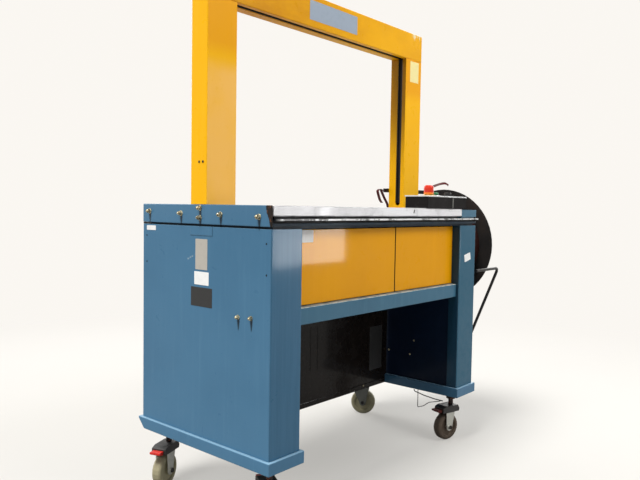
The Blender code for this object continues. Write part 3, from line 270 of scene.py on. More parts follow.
def finish_blue_sheet():
    """Blue and dark blue sheet: columns, rails, band, ring, with painted shadows below the bolts, painted shade on
    front and inner faces and in the ring's gap, painted highlights on the base ledge and the rail's top, and one
    scuff.
    """
    blue = painted("blue_enamel", BLUE, BLUE_SHADE, BLUE_GLOW, 0.36, PRIMER)
    post = painted("post_enamel", POST_BLUE, POST_SHADE, POST_GLOW, 0.38, PRIMER, edge_light_and_wear=1.6)
    # Painted highlight: a pale line along the top of the front cross rail.
    lip = post.between(post.math("ABSOLUTE", post.math("SUBTRACT", post.axis("z"), 0.5935)), 0.0008, 0.0016, 1.0, 0.0)
    lip = post.math("MULTIPLY", lip, post.between(post.noise(30.0, 4.0, 0.7), 0.40, 0.55, 0.35, 0.9))
    lip = post.math("MULTIPLY", lip, post.between(post.axis("x"), LENGTH - 0.1175, LENGTH - 0.1165, 1.0, 0.0))
    post.tint(lip, (0.55, 0.60, 0.55))
    # Painted shade on the right column's front face below its top.
    face = post.between(post.axis("y"), 0.0004, 0.0014, 0.8, 0.0)
    face = post.math("MULTIPLY", face, post.between(post.axis("x"), LENGTH - 0.1165, LENGTH - 0.1160))
    below_top = post.between(post.axis("z"), 0.806, 0.808, 1.0, 0.0)
    post.tint(post.math("MULTIPLY", face, below_top), (0.014, 0.090, 0.150))
    # Painted shade on the right column's inner side face, which faces the left end.
    inward = post.between(post.axis("x"), LENGTH - 0.1166, LENGTH - 0.1156, 1.0, 0.0)
    inward = post.math("MULTIPLY", inward, post.between(post.axis("x"), LENGTH - 0.1174, LENGTH - 0.1172))
    post.tint(post.math("MULTIPLY", inward, 0.85), (0.004, 0.026, 0.052))
    panel = painted("panel_enamel", BLUE, BLUE_SHADE, BLUE_GLOW, 0.36, PRIMER, edge_light_and_wear=1.3)
    # Painted shadows below the band and panel bolts.
    paint_bolt_shadows(panel, (*BAND_BOLTS, *PANEL_BOLTS), 0.034)
    aside = panel.math("SUBTRACT", panel.axis("y"), 0.323)
    above = panel.math("SUBTRACT", panel.axis("z"), 0.7185)
    lean = panel.math("ABSOLUTE", panel.math("ADD", above, panel.math("MULTIPLY", aside, 0.45)))
    scuff = panel.math("MULTIPLY", panel.between(panel.math("ABSOLUTE", aside), 0.010, 0.022, 1.0, 0.0),
                       panel.between(lean, 0.001, 0.004, 1.0, 0.0))
    scuff = panel.math("MULTIPLY", scuff, panel.between(panel.noise(130.0, 4.0, 0.7), 0.45, 0.60, 0.0, 0.8))
    outside = panel.between(panel.axis("x"), 0.004, 0.006, 1.0, 0.0)
    panel.tint(panel.math("MULTIPLY", scuff, outside), (0.36, 0.44, 0.48))
    from_end = panel.between(panel.axis("x"), 0.0, 0.0035)
    corner = panel.math("ADD", from_end, panel.between(panel.axis("y"), 0.0, 0.0035))
    panel.tint(panel.between(corner, 0.25, 0.9, 0.35, 0.0), (0.012, 0.035, 0.055))
    # Painted shade on the left column's front face, broken into upright streaks.
    face = panel.between(panel.axis("y"), 0.0004, 0.0014, 0.8, 0.0)
    streaks = panel.between(panel.noise(16.0, 4.0, 0.6, panel.stretched((8.0, 1.0, 0.25))), 0.35, 0.65, 1.0, 0.7)
    panel.tint(panel.math("MULTIPLY", face, streaks), (0.034, 0.116, 0.205))
    assign(post, "right_column", "front_cross_rail", "right_end_block")
    assign(panel, "left_column")
    assign(blue, "rear_cross_rail", "mechanism_floor")
    base = painted("base_enamel", BLUE, BLUE_SHADE, BLUE_GLOW, 0.36, PRIMER, edge_light_and_wear=1.4)
    # Painted highlight along the top ledge of the base rails.
    ledge = base.between(base.axis("z"), BASE_TOP - 0.0012, BASE_TOP - 0.0004)
    base.tint(base.math("MULTIPLY", ledge, 0.65), (0.27, 0.43, 0.55))
    stem = base.between(base.axis("z"), 0.1755, 0.1765, 1.0, 0.0)
    base.tint(stem, (0.018, 0.014, 0.012))
    base.tint(base.math("MULTIPLY", stem, base.between(base.noise(160.0, 3.0), 0.5, 0.6)), (0.13, 0.035, 0.020))
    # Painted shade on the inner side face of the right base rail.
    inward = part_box("right_base_rail")[0][0] - CORNER[0]
    shaded = base.between(base.axis("x"), inward - 0.0005, inward + 0.0005)
    shaded = base.math("MULTIPLY", shaded, base.between(base.axis("x"), inward + 0.0010, inward + 0.0022, 0.8, 0.0))
    base.tint(shaded, (0.012, 0.050, 0.095))
    assign(base, "left_base_rail", "right_base_rail")
    # A dark slate ring: partly its own paint, partly painted shade under the tray's overhang.
    ring = painted(
        "ring_enamel", (0.016, 0.028, 0.042), (0.012, 0.020, 0.030), (0.026, 0.046, 0.066), 0.45, (0.05, 0.08, 0.11),
        edge_light_and_wear=0.6, coat=0.05, sheen=0.1,
    )
    # Painted shade: near-black above the ring's front, in the gap under the tray.
    ring.tint(ring.between(ring.axis("z"), TABLE - 0.0462, TABLE - 0.0452), (0.003, 0.003, 0.004))
    assign(ring, "top_frame")
    band = painted("band_enamel", BLUE, BLUE_SHADE, BLUE_GLOW, 0.36, PRIMER, edge_light_and_wear=1.3)
    depth = band.axis("y")
    height = band.axis("z")
    ragged = band.math("MULTIPLY", band.math("SUBTRACT", band.noise(55.0, 5.0, 0.7), 0.5), 0.016)
    reach = band.between(height, TABLE - 0.050, TABLE - 0.004, 0.006, 0.021)
    inside = band.math("SUBTRACT", band.math("ADD", reach, ragged), depth)
    patch = band.between(inside, -0.0008, 0.0012)
    band.tint(patch, (0.012, 0.007, 0.005))
    rust = band.math("MULTIPLY", patch, band.between(band.noise(120.0, 4.0, 0.7), 0.56, 0.64))
    band.tint(rust, (0.16, 0.06, 0.025))
    # Painted shadows below the band bolts.
    paint_bolt_shadows(band, BAND_BOLTS, 0.034)
    assign(band, "left_band")


def finish_yellow_sheet():
    """Yellow sheet: the arch legs and beam, and the deeper gold of the doors."""
    yellow = painted("leg_enamel", YELLOW, YELLOW_SHADE, YELLOW_GLOW, 0.34, BARE_YELLOW, streak=0.5, coat=0.08)
    # Painted reflection: a lighter peach on the lower front of the left leg.
    front = yellow.between(yellow.axis("y"), 0.2550, 0.2556, 1.0, 0.0)
    fade = yellow.between(yellow.axis("z"), 1.225, 1.285, 0.75, 0.0)
    fade = yellow.math("MULTIPLY", fade, yellow.between(yellow.noise(6.0, 4.0, 0.6), 0.30, 0.62, 0.6, 1.0))
    fade = yellow.math("MULTIPLY", fade, yellow.between(yellow.axis("x"), 0.5, 0.6, 1.0, 0.0))
    yellow.tint(yellow.math("MULTIPLY", front, fade), (0.99, 0.56, 0.150))
    # Painted shade on the right leg's inner side face, darkest at the top and gone by the bottom.
    inner = yellow.math("ABSOLUTE", yellow.math("SUBTRACT", yellow.axis("x"), LENGTH - 0.108))
    inner = yellow.math("MULTIPLY", yellow.between(inner, 0.0004, 0.0012, 0.9, 0.0),
                        yellow.between(yellow.axis("z"), 0.95, 1.30))
    yellow.tint(inner, (0.28, 0.115, 0.001))
    upper = yellow.between(yellow.axis("z"), 1.275, 1.325, 0.0, 0.8)
    yellow.tint(yellow.math("MULTIPLY", front, upper), (0.86, 0.36, 0.001))
    assign(yellow, "left_arch_leg", "right_arch_leg")
    gold = painted("door_enamel", GOLD, GOLD_SHADE, GOLD_GLOW, 0.34, BARE_YELLOW, streak=0.4, coat=0.26, sheen=0.04)
    gold.shader.inputs["Coat Roughness"].default_value = 0.05
    seam = gold.math("ABSOLUTE", gold.math("SUBTRACT", gold.axis("x"), DOOR_SEAM))
    gold.tint(gold.between(seam, 0.0024, 0.0034, 1.0, 0.0), (0.020, 0.008, 0.002))
    assign(gold, "left_door", "right_door", "rear_cover")
    beam = painted("beam_enamel", YELLOW, YELLOW_SHADE, YELLOW_GLOW, 0.34, BARE_YELLOW, streak=0.5, coat=0.08)
    along = beam.axis("x")
    height = beam.axis("z")
    near_corner = beam.math("ADD", beam.between(along, 0.985, 1.040), beam.between(height, 1.505, 1.535))
    flaked = beam.between(beam.noise(60.0, 4.0, 0.7, beam.stretched((1.0, 1.0, 0.5))), 0.50, 0.56)
    # Darker in blotches, most towards the left end of the beam.
    blotches = beam.between(beam.noise(5.0, 4.0, 0.6, beam.stretched((1.0, 1.0, 2.0))), 0.35, 0.65, 0.55, 1.0)
    shade = beam.between(along, 0.15, 0.95, 0.85, 0.42)
    beam.tint(beam.math("MULTIPLY", blotches, shade), (0.60, 0.235, 0.001))
    beam.tint(beam.math("MULTIPLY", beam.between(near_corner, 1.2, 1.8), flaked), (0.82, 0.70, 0.42))
    assign(beam, "arch_beam")


def shaded_rubbed_top(finish, height):
    """The upper face at this height, darker as painted shade, with long faint rub marks from parcels sliding over it.
    """
    face = finish.between(finish.axis("z"), height - 0.0006, height - 0.0002)
    rubs = finish.between(finish.noise(14.0, 5.0, 0.7, finish.stretched((0.5, 5.0, 1.0))), 0.30, 0.70, 0.95, 0.60)
    finish.tint(finish.math("MULTIPLY", face, rubs), (0.23, 0.23, 0.235))


def finish_table():
    """Bare steel: the table with its nicked front hem, the tarnished tray and the lid of the control box, with
    painted shade on their upper faces, under the table plate and at the tray's left end.
    """
    top = steel("table_steel", (0.69, 0.69, 0.71), 0.46)
    top.set("Metallic", 0.75)
    hem = top.between(top.axis("z"), TABLE - 0.0262, TABLE - 0.0245, 1.0, 0.0)
    hem = top.math("MAXIMUM", hem, top.between(top.axis("z"), TABLE - 0.0040, TABLE - 0.0028, 0.0, 0.5))
    hem = top.math("MULTIPLY", hem, top.between(top.axis("z"), TABLE - 0.0012, TABLE - 0.0006, 1.0, 0.0))
    top.tint(top.math("MULTIPLY", hem, top.between(top.noise(20.0, 4.0), 0.4, 0.6, 0.3, 1.0)), (0.34, 0.34, 0.36))
    # Painted shade: near-black on the foot under the table plate, seen through the gap above the tray.
    foot = top.between(top.axis("z"), TABLE - 0.0290, TABLE - 0.0275, 1.0, 0.0)
    top.tint(foot, (0.020, 0.020, 0.022))
    across = top.math("ABSOLUTE", top.math("SUBTRACT", top.axis("x"), 0.656))
    below = top.math("SUBTRACT", TABLE - 0.003, top.axis("z"))
    nick = top.between(top.math("SUBTRACT", across, top.math("MULTIPLY", below, 0.35)), 0.0008, 0.0022, 1.0, 0.0)
    nick = top.math("MULTIPLY", nick, top.between(below, 0.012, 0.016, 1.0, 0.0))
    nick = top.math("MULTIPLY", nick, top.between(top.axis("y"), 0.0025, 0.0035, 1.0, 0.0))
    nick = top.math("MULTIPLY", nick, top.between(top.noise(140.0, 3.0), 0.40, 0.50))
    top.tint(nick, (0.02, 0.02, 0.02))
    shaded_rubbed_top(top, TABLE)
    assign(top, "front_table_plate", "rear_table_flap")
    assign(steel("slide_steel", (0.26, 0.26, 0.27), 0.42), "slide_plate")
    tray = steel("tray_steel", (0.62, 0.63, 0.64), 0.34)
    tarnish = tray.math("ADD", tray.noise(38.0, 5.0, 0.75, tray.stretched((1.0, 0.3, 1.0))),
                        tray.between(tray.axis("x"), 0.06, 0.30, 0.11, 0.0))
    tray.tint(tray.between(tarnish, 0.51, 0.60, 0.0, 0.85), (0.030, 0.030, 0.032))
    # Painted shade at the tray's left end, under the band.
    tray.tint(tray.between(tray.axis("x"), 0.004, 0.012, 1.0, 0.0), (0.012, 0.014, 0.018))
    assign(tray, "table_tray")
    lid = steel("lid_steel", (0.62, 0.63, 0.64), 0.36)
    shaded_rubbed_top(lid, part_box("control_box_lid")[1][2])
    assign(lid, "control_box_lid")


def finish_black_parts():
    """Black and navy pieces: kick panel, inner covers, rods, control box, plastic guides and reel boards."""
    panel = painted(
        "black_enamel", (0.009, 0.007, 0.006), (0.016, 0.012, 0.010), (0.022, 0.017, 0.014), 0.24, (0.04, 0.04, 0.04),
        coat=0.14, sheen=0.08,
    )
    assign(panel, "kick_panel")
    inner = painted(
        "navy_enamel", (0.003, 0.010, 0.028), (0.002, 0.007, 0.020), (0.005, 0.014, 0.036), 0.50, (0.02, 0.02, 0.03),
        coat=0.05,
    )
    assign(inner, "left_inner_cover", "right_inner_cover")
    rod = moulded("black_lacquer", (0.016, 0.015, 0.015), 0.38, (0.06, 0.05, 0.04), 0.3)
    assign(rod, "dancer_rod", "dispenser_bracket", "strap_guide_bar", "wire_bracket")
    box = moulded("box_lacquer", (0.006, 0.005, 0.005), 0.60, (0.014, 0.013, 0.013), 0.6)
    box.set("Specular IOR Level", 0.12)
    fleck = box.between(box.noise(60.0, 5.0, 0.75), 0.58, 0.70, 0.0, 0.6)
    box.tint(fleck, (0.035, 0.035, 0.034))
    seam = box.between(box.math("ABSOLUTE", box.math("SUBTRACT", box.axis("x"), 0.897)), 0.0016, 0.0026, 1.0, 0.0)
    box.tint(seam, (0.24, 0.24, 0.22))
    assign(box, "control_box")
    plastic = moulded("black_plastic", (0.013, 0.013, 0.013), 0.50, (0.060, 0.045, 0.035), 0.5)
    assign(plastic, "left_strap_guide", "right_strap_guide", "top_strap_guide", "reel_lock_knob", "tension_knob")
    reel = moulded("reel_board", (0.008, 0.007, 0.007), 0.60, (0.030, 0.019, 0.014), 0.75, 180.0)
    reel.set("Specular IOR Level", 0.25)
    assign(reel, "reel_spool", "outer_flange")


def finish_strap():
    """The dark red strap, ribbed, and the coil, darker than the strap as painted shade, with a painted shade line
    between its turns.
    """
    strap = Finish("strap_plastic", (0.075, 0.006, 0.006), 0.42, Specular_IOR_Level=0.2)
    ribs = strap.noise(500.0, 2.0, 0.5, strap.stretched((1.0, 0.4, 1.0)))
    strap.tint(strap.between(strap.noise(30.0, 3.0), 0.5, 0.8, 0.0, 0.6), (0.035, 0.004, 0.004))
    strap.bump(ribs, 0.25, 0.0003)
    assign(strap, "strap_run", "strap_loop")
    # A darker copy of the strap's red: painted shade on the wound coil.
    coil = Finish("wound_strap", (0.024, 0.005, 0.004), 0.5, Specular_IOR_Level=0.2)
    wave = coil.tree.nodes.new("ShaderNodeTexWave")
    wave.wave_type = "BANDS"
    wave.bands_direction = "X"
    wave.inputs["Scale"].default_value = 26.0
    wave.inputs["Distortion"].default_value = 1.2
    wave.inputs["Detail"].default_value = 2.0
    coil.put(wave.inputs["Vector"], coil.place)
    # Painted shade in a dark line between the turns.
    coil.tint(coil.between(wave.outputs["Fac"], 0.05, 0.30, 0.85, 0.0), (0.006, 0.002, 0.002))
    coil.bump(wave.outputs["Fac"], 0.6, 0.0010)
    assign(coil, "strap_coil")


def finish_casters():
    """Tyres, fork sheet with its dark cap, and brake pedals, each as worn as it looks."""
    pale = moulded("grey_tyre", (0.330, 0.300, 0.190), 0.55, (0.16, 0.13, 0.09), 0.8, 120.0)
    assign(pale, "rear_left_wheel", "rear_right_wheel", "front_left_wheel")
    dark = moulded("worn_tyre", (0.075, 0.055, 0.040), 0.60, (0.19, 0.14, 0.10), 0.8, 120.0)
    assign(dark, "front_right_wheel")
    plain = steel("plain_fork_steel", (0.16, 0.165, 0.15), 0.55)
    assign(plain, "rear_right_fork")
    fork = steel("fork_steel", (0.50, 0.50, 0.46), 0.42)
    cap = fork.between(fork.axis("z"), 0.1035, 0.1055)
    fork.tint(cap, (0.014, 0.013, 0.012))
    fork.set("Metallic", fork.between(fork.axis("z"), 0.1035, 0.1055, 0.85, 0.0))
    assign(fork, "front_left_fork", "front_right_fork", "rear_left_fork")
    pedal = moulded("red_pedal", (0.560, 0.020, 0.012), 0.42, (0.10, 0.03, 0.02), 0.7)
    assign(pedal, "rear_left_brake_pedal", "front_left_brake_pedal")
    grimy = moulded("grimy_pedal", (0.090, 0.014, 0.010), 0.50, (0.020, 0.012, 0.010), 0.9, 120.0)
    assign(grimy, "front_right_brake_pedal")


def finish_inside():
    """Plain castings, motor and belt behind the doors."""
    casting = moulded("machined_casting", (0.20, 0.21, 0.22), 0.45, (0.06, 0.055, 0.05), 0.6)
    casting.set("Metallic", 0.7)
    assign(casting, "head_frame", "cam_shaft", "feed_roller", "pinch_roller", "motor_pulley")
    motor = moulded("motor_enamel", (0.055, 0.085, 0.110), 0.45, (0.05, 0.045, 0.04), 0.5)
    assign(motor, "drive_motor", "electrics_box")
    belt = moulded("belt_rubber", (0.012, 0.012, 0.012), 0.65)
    assign(belt, "drive_belt")


def finish_controls():
    """The red stop with its orange collar, and the green start button."""
    red = Finish("stop_red", (0.62, 0.030, 0.010), 0.34, Specular_IOR_Level=0.3)
    red.tint(red.between(red.noise(40.0, 3.0), 0.45, 0.80, 0.0, 0.5), (0.45, 0.022, 0.008))
    collar = red.between(red.axis("z"), 0.9215, 0.9235, 1.0, 0.0)
    red.tint(collar, (0.86, 0.22, 0.02))
    red.rounded(0.0010)
    assign(red, "emergency_stop_button")
    green = Finish("start_green", (0.015, 0.150, 0.055), 0.36, Specular_IOR_Level=0.3)
    green.tint(green.between(green.noise(50.0, 3.0), 0.45, 0.80, 0.0, 0.5), (0.010, 0.100, 0.040))
    green.rounded(0.0008)
    assign(green, "start_button")


# Shapes ----------------------------------------------------------------------------------------------------


def shell(rows):
    """A closed surface: rows of points that close on themselves, joined row to row, with a point at each end."""
    rows = np.asarray(rows, float)
    count, around = rows.shape[:2]
    points = np.concatenate([rows.reshape(-1, 3), rows[:1].mean(1), rows[-1:].mean(1)])
    index = np.arange(count * around).reshape(count, around)
    ahead = np.roll(index, -1, axis=1)
    sides = np.stack([index[:-1], ahead[:-1], ahead[1:], index[:-1], ahead[1:], index[1:]], axis=-1).reshape(-1, 3)
    first = np.stack([np.full(around, count * around), ahead[0], index[0]], axis=-1)
    last = np.stack([np.full(around, count * around + 1), index[-1], ahead[-1]], axis=-1)
    return points, np.concatenate([sides, first, last])


def piece(name, shells, finish, body="machine", smooth=35.0):
    """One object made of closed surfaces, riding on a body: their points and faces one after another, each
    surface's faces counted on from the points before it."""
    points = np.concatenate([shell_points for shell_points, _ in shells])
    starts = np.cumsum([0, *(len(shell_points) for shell_points, _ in shells[:-1])])
    faces = np.concatenate([shell_faces + start for (_, shell_faces), start in zip(shells, starts)])
    mesh = bpy.data.meshes.new(name)
    mesh.from_pydata(points, [], faces)
    shape = bmesh.new()
    shape.from_mesh(mesh)
    bmesh.ops.recalc_face_normals(shape, faces=shape.faces)
    shape.to_mesh(mesh)
    shape.free()
    mesh.materials.append(finish.material)
    mesh.shade_smooth()
    mesh.set_sharp_from_angle(angle=math.radians(smooth))
    made = bpy.data.objects.new(name, mesh)
    bpy.context.scene.collection.objects.link(made)
    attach(made, body)
    return made


def turned(centre, axis, profile, around=28):
    """A profile turned about an axis: the point at angle t is centre + along * axis + radius * (cos t, sin t)."""
    axis = np.asarray(axis, float)
    side = np.cross(axis, [0.0, 0.0, 1.0] if abs(axis[2]) < 0.9 else [1.0, 0.0, 0.0])
    side /= np.linalg.norm(side)
    up = np.cross(axis, side)
    turn = np.linspace(0, 2 * np.pi, around, endpoint=False)
    spokes = np.cos(turn)[:, None] * side + np.sin(turn)[:, None] * up
    radius, along = np.asarray(profile, float).T
    rows = centre + along[:, None, None] * axis + radius[:, None, None] * spokes
    return shell(rows)


def sheet_plate(centre, across, up, size, thick, corner=0.0015, edge=0.0002):
    """A flat plate: a rounded rectangle, drawn in by edge where it meets its top and bottom faces."""
    across, up = np.asarray(across, float), np.asarray(up, float)
    out = np.cross(across, up)
    turn = np.linspace(0, 2 * np.pi, 24, endpoint=False) + np.pi / 24
    swing = np.stack([np.cos(turn), np.sin(turn)], axis=-1)
    half = np.array(size) / 2
    rows = []
    for inset, height in ((edge, 0.0), (0.0, edge), (0.0, thick - edge), (edge, thick)):
        bend = max(corner - inset, 1e-5)
        flat = np.sign(swing) * (half - corner) + bend * swing
        rows.append(centre + flat[:, :1] * across + flat[:, 1:] * up + height * out)
    return shell(rows)


OUT_LEFT = (-1.0, 0.0, 0.0)
LEFT = ((0.0, -1.0, 0.0), (0.0, 0.0, 1.0))
FRONT = ((1.0, 0.0, 0.0), (0.0, 0.0, 1.0))
TILTED = ((0.978, 0.0, 0.208), (-0.208, 0.0, 0.978))


def hexagon(centre, axis, width, height, thick_start=0.0):
    """A hexagon head: six flats, with its top rim drawn in to a chamfer."""
    reach = width / 2 / math.cos(math.pi / 6)
    profile = [(reach, thick_start), (reach, thick_start + height * 0.82), (reach * 0.90, thick_start + height)]
    return turned(centre, axis, profile, 6)


def bolt(centre, axis, size):
    """A washer, a hexagon nut on it and the ridged end of the bolt standing out of the nut."""
    washer = turned(centre, axis, [(size * 1.05, 0.0), (size * 1.05, 0.0012), (size * 0.95, 0.0016)], 20)
    nut = hexagon(centre, axis, size * 1.6, size * 0.90, 0.0016)
    along = np.linspace(size * 0.8, size * 1.80, 13)
    ridge = size * (0.46 + 0.045 * np.cos(np.arange(13) * np.pi))
    ridge[-1] = size * 0.36
    return [washer, nut, turned(centre, axis, np.stack([ridge, along], axis=-1), 16)]


def screw(place, axis, radius, crown, rim, height):
    """A pan head: a straight rim, then a slope in to its flat crown."""
    return turned(at(*place), axis, [(radius, 0.0), (radius, rim), (crown, height)], 16)


def make_bolts():
    """Nuts and screws on the left end, the leg, the inner cover and the kick panel, dark discs of painted shade for
    open holes, and a dark strip of painted shade in the gap under the band.
    """
    brass = Finish("passivated_steel", (0.60, 0.54, 0.36), 0.36, 0.9)
    brass.tint(brass.between(brass.noise(170.0, 4.0, 0.7), 0.44, 0.60, 0.0, 0.95), (0.045, 0.035, 0.022))
    brass.rounded(0.0008)
    shells = []
    for y, z in BAND_BOLTS:
        shells += bolt(at(0.0, y, z), OUT_LEFT, 0.0075)
    piece("band_bolts", shells, brass)
    shells = []
    for y, z in PANEL_BOLTS:
        shells += bolt(at(0.0, y, z), OUT_LEFT, 0.0060)
    piece("panel_bolts", shells, brass)
    shells = [screw((0.0, y, 0.9865), OUT_LEFT, 0.0035, 0.0022, 0.001, 0.0022) for y in (0.2874, 0.2709)]
    piece("leg_screws", shells, moulded("leg_screw_black", (0.030, 0.022, 0.012), 0.5))
    places = ((0.3027, 0.3075), (0.1876, 0.3606), (0.2048, 0.3055))
    shells = [screw((0.9648, y, z), OUT_LEFT, 0.004, 0.0025, 0.0012, 0.0024) for y, z in places]
    piece("inner_screws", shells, brass)
    shells = [screw((0.8126, 0.312, 0.191), (0.0, -1.0, 0.0), 0.004, 0.0025, 0.001, 0.002)]
    piece("kick_screw", shells, brass)
    # Dark discs of painted shade where the end panel has open holes.
    dark = moulded("open_hole", (0.006, 0.008, 0.010), 0.8)
    shells = []
    for y, z in ((0.0175, 0.77), (0.0165, 0.69), (0.535, 0.7726), (0.5345, 0.693)):
        shells += [turned(at(0.0, y, z), OUT_LEFT, [(0.0026, 0.0), (0.0024, 0.0004)], 16)]
    piece("hole_shade_discs", shells, dark)
    # A dark strip of painted shade in the gap below the band's end.
    gap_shade = moulded("gap_shade_black", (0.006, 0.008, 0.011), 0.7)
    strip = sheet_plate(at(0.0040, 0.5335, 0.8100), *LEFT, (0.041, 0.0054), 0.0032)
    piece("band_gap_shade", [strip], gap_shade)


def make_labels():
    """Blank plates and stickers, each in one plain colour."""
    blue_cover = painted("cover_enamel", BLUE, BLUE_SHADE, BLUE_GLOW, 0.36, PRIMER)
    plate = sheet_plate(at(0.0, 0.276, 0.7943), *LEFT, (0.096, 0.0255), 0.0012)
    piece("arch_cover_plate", [plate], blue_cover)
    places = {
        "type_plate": ((0.0, 0.275, 0.7286), LEFT, (0.052, 0.086), (0.46, 0.43, 0.38)),
        "square_label": ((0.0, 0.274, 0.6615), LEFT, (0.0625, 0.037), (0.88, 0.88, 0.87)),
        "dark_label": ((0.0, 0.274, 0.609), LEFT, (0.092, 0.054), (0.015, 0.015, 0.015)),
        "corner_label": ((0.0, 0.512, 0.796), LEFT, (0.046, 0.014), (0.86, 0.85, 0.84)),
        "post_label": ((1.0212, 0.0, 0.690), TILTED, (0.045, 0.027), (0.88, 0.88, 0.86)),
        "beam_plate": ((0.5385, 0.2548, 1.496), FRONT, (0.247, 0.062), (0.30, 0.36, 0.44)),
        "leg_label": ((1.0295, 0.2548, 1.397), FRONT, (0.059, 0.080), (0.90, 0.78, 0.34)),
        "diagram_label": ((0.8885, 0.312, 0.3265), FRONT, (0.080, 0.168), (0.030, 0.030, 0.030)),
    }
    for name, (where, sides, size, colour) in places.items():
        paper = Finish(f"{name}_film", colour, 0.45)
        paper.tint(paper.between(paper.noise(60.0, 4.0), 0.45, 0.8, 0.0, 0.35), tuple(c * 0.82 for c in colour))
        paper.bump(paper.noise(300.0, 2.0), 0.05, 0.0002)
        piece(name, [sheet_plate(at(*where), *sides, size, 0.0005, 0.002, 0.0001)], paper)
    film = Finish("door_label_film", (0.80, 0.79, 0.77), 0.45)
    film.tint(film.between(film.noise(60.0, 4.0), 0.45, 0.8, 0.0, 0.35), (0.66, 0.64, 0.62))
    plate = sheet_plate(at(0.1575, 0.030, 0.7855), *FRONT, (0.070, 0.034), 0.0005, 0.002, 0.0001)
    piece("door_label", [plate], film, "left_door")


def make_axle_nuts():
    """Black hexagon nuts on both ends of each caster's axle, turned with their fork."""
    black = moulded("blacked_steel", (0.014, 0.013, 0.012), 0.45, (0.05, 0.04, 0.03), 0.5)
    headings = {"front_left": 60.0, "rear_left": 202.0, "front_right": 164.0, "rear_right": 300.0}
    for corner, heading in headings.items():
        low, high = (np.array(side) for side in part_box(f"{corner}_wheel"))
        middle = (low + high) / 2
        across = math.radians(heading + 90.0)
        axle = np.array([math.cos(across), math.sin(across), 0.0])
        shells = [hexagon(middle + side * 0.0248 * axle, side * axle, 0.013, 0.0055) for side in (-1.0, 1.0)]
        piece(f"{corner}_axle_nuts", shells, black, f"{corner}_fork")


def make_control_fittings():
    """Flat rings round the two buttons, low under the caps and raised outside them."""
    yellow = Finish("collar_yellow", (0.90, 0.52, 0.02), 0.38)
    yellow.tint(yellow.between(yellow.noise(80.0, 3.0), 0.5, 0.8, 0.0, 0.4), (0.60, 0.32, 0.02))
    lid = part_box("control_box_lid")[1][2]
    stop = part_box("emergency_stop_button")
    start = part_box("start_button")

    def middle(box):
        """The place on the lid under the middle of a button."""
        return np.array([(box[0][0] + box[1][0]) / 2, (box[0][1] + box[1][1]) / 2, lid])

    up = (0.0, 0.0, 1.0)
    ring = [(0.0075, 0.0003), (0.0205, 0.0003), (0.0205, 0.0022), (0.0196, 0.0030)]
    ring += [(0.0181, 0.0030), (0.0177, 0.0012), (0.0075, 0.0012)]
    piece("stop_collar", [ring_shell(middle(stop), up, ring)], yellow)
    chrome = steel("bezel_steel", (0.75, 0.75, 0.75), 0.20)
    ring = [(0.0072, 0.0003), (0.0150, 0.0003), (0.0150, 0.0022), (0.0142, 0.0030)]
    ring += [(0.0121, 0.0030), (0.0117, 0.0012), (0.0072, 0.0012)]
    piece("start_bezel", [ring_shell(middle(start), up, ring)], chrome)


def ring_shell(centre, axis, profile, around=32):
    """A ring: a closed profile turned about an axis, its last point joined to its first."""
    axis = np.asarray(axis, float)
    side = np.array([1.0, 0.0, 0.0]) if abs(axis[0]) < 0.9 else np.array([0.0, 1.0, 0.0])
    up = np.cross(axis, side)
    turn = np.linspace(0, 2 * np.pi, around, endpoint=False)
    spokes = np.cos(turn)[:, None] * side + np.sin(turn)[:, None] * up
    radius, along = np.asarray(profile, float).T
    rows = centre + along[:, None, None] * axis + radius[:, None, None] * spokes
    count = len(profile)
    index = np.arange(count * around).reshape(count, around)
    next_row, next_column = np.roll(index, -1, axis=0), np.roll(index, -1, axis=1)
    corner = np.roll(next_row, -1, axis=1)
    faces = np.stack([index, next_column, corner, index, corner, next_row], axis=-1).reshape(-1, 3)
    return rows.reshape(-1, 3), faces


# Camera, floor and light -------------------------------------------------------------------------------------


def make_camera():
    """The camera: it looks along yaw and pitch, then rolls about its own view direction."""
    yaw, pitch, roll = (math.radians(angle) for angle in (40.806, -2.807, 0.905))
    forward = Vector((math.cos(yaw) * math.cos(pitch), math.sin(yaw) * math.cos(pitch), math.sin(pitch)))
    level = Vector((math.sin(yaw), -math.cos(yaw), 0.0))
    upright = level.cross(forward)
    right = level * math.cos(roll) + upright * math.sin(roll)
    top = upright * math.cos(roll) - level * math.sin(roll)
    data = bpy.data.cameras.new("camera")
    data.sensor_width = 36.0
    data.lens = 36.92
    data.clip_end = 60.0
    camera = bpy.data.objects.new("camera", data)
    pose = Matrix((right, top, -forward)).transposed().to_4x4()
    pose.translation = Vector(at(-1.1666, -1.1683, 0.8636))
    camera.matrix_world = pose
    bpy.context.scene.collection.objects.link(camera)
    bpy.context.scene.camera = camera


BACKDROP = (0.960, 0.930, 0.885)


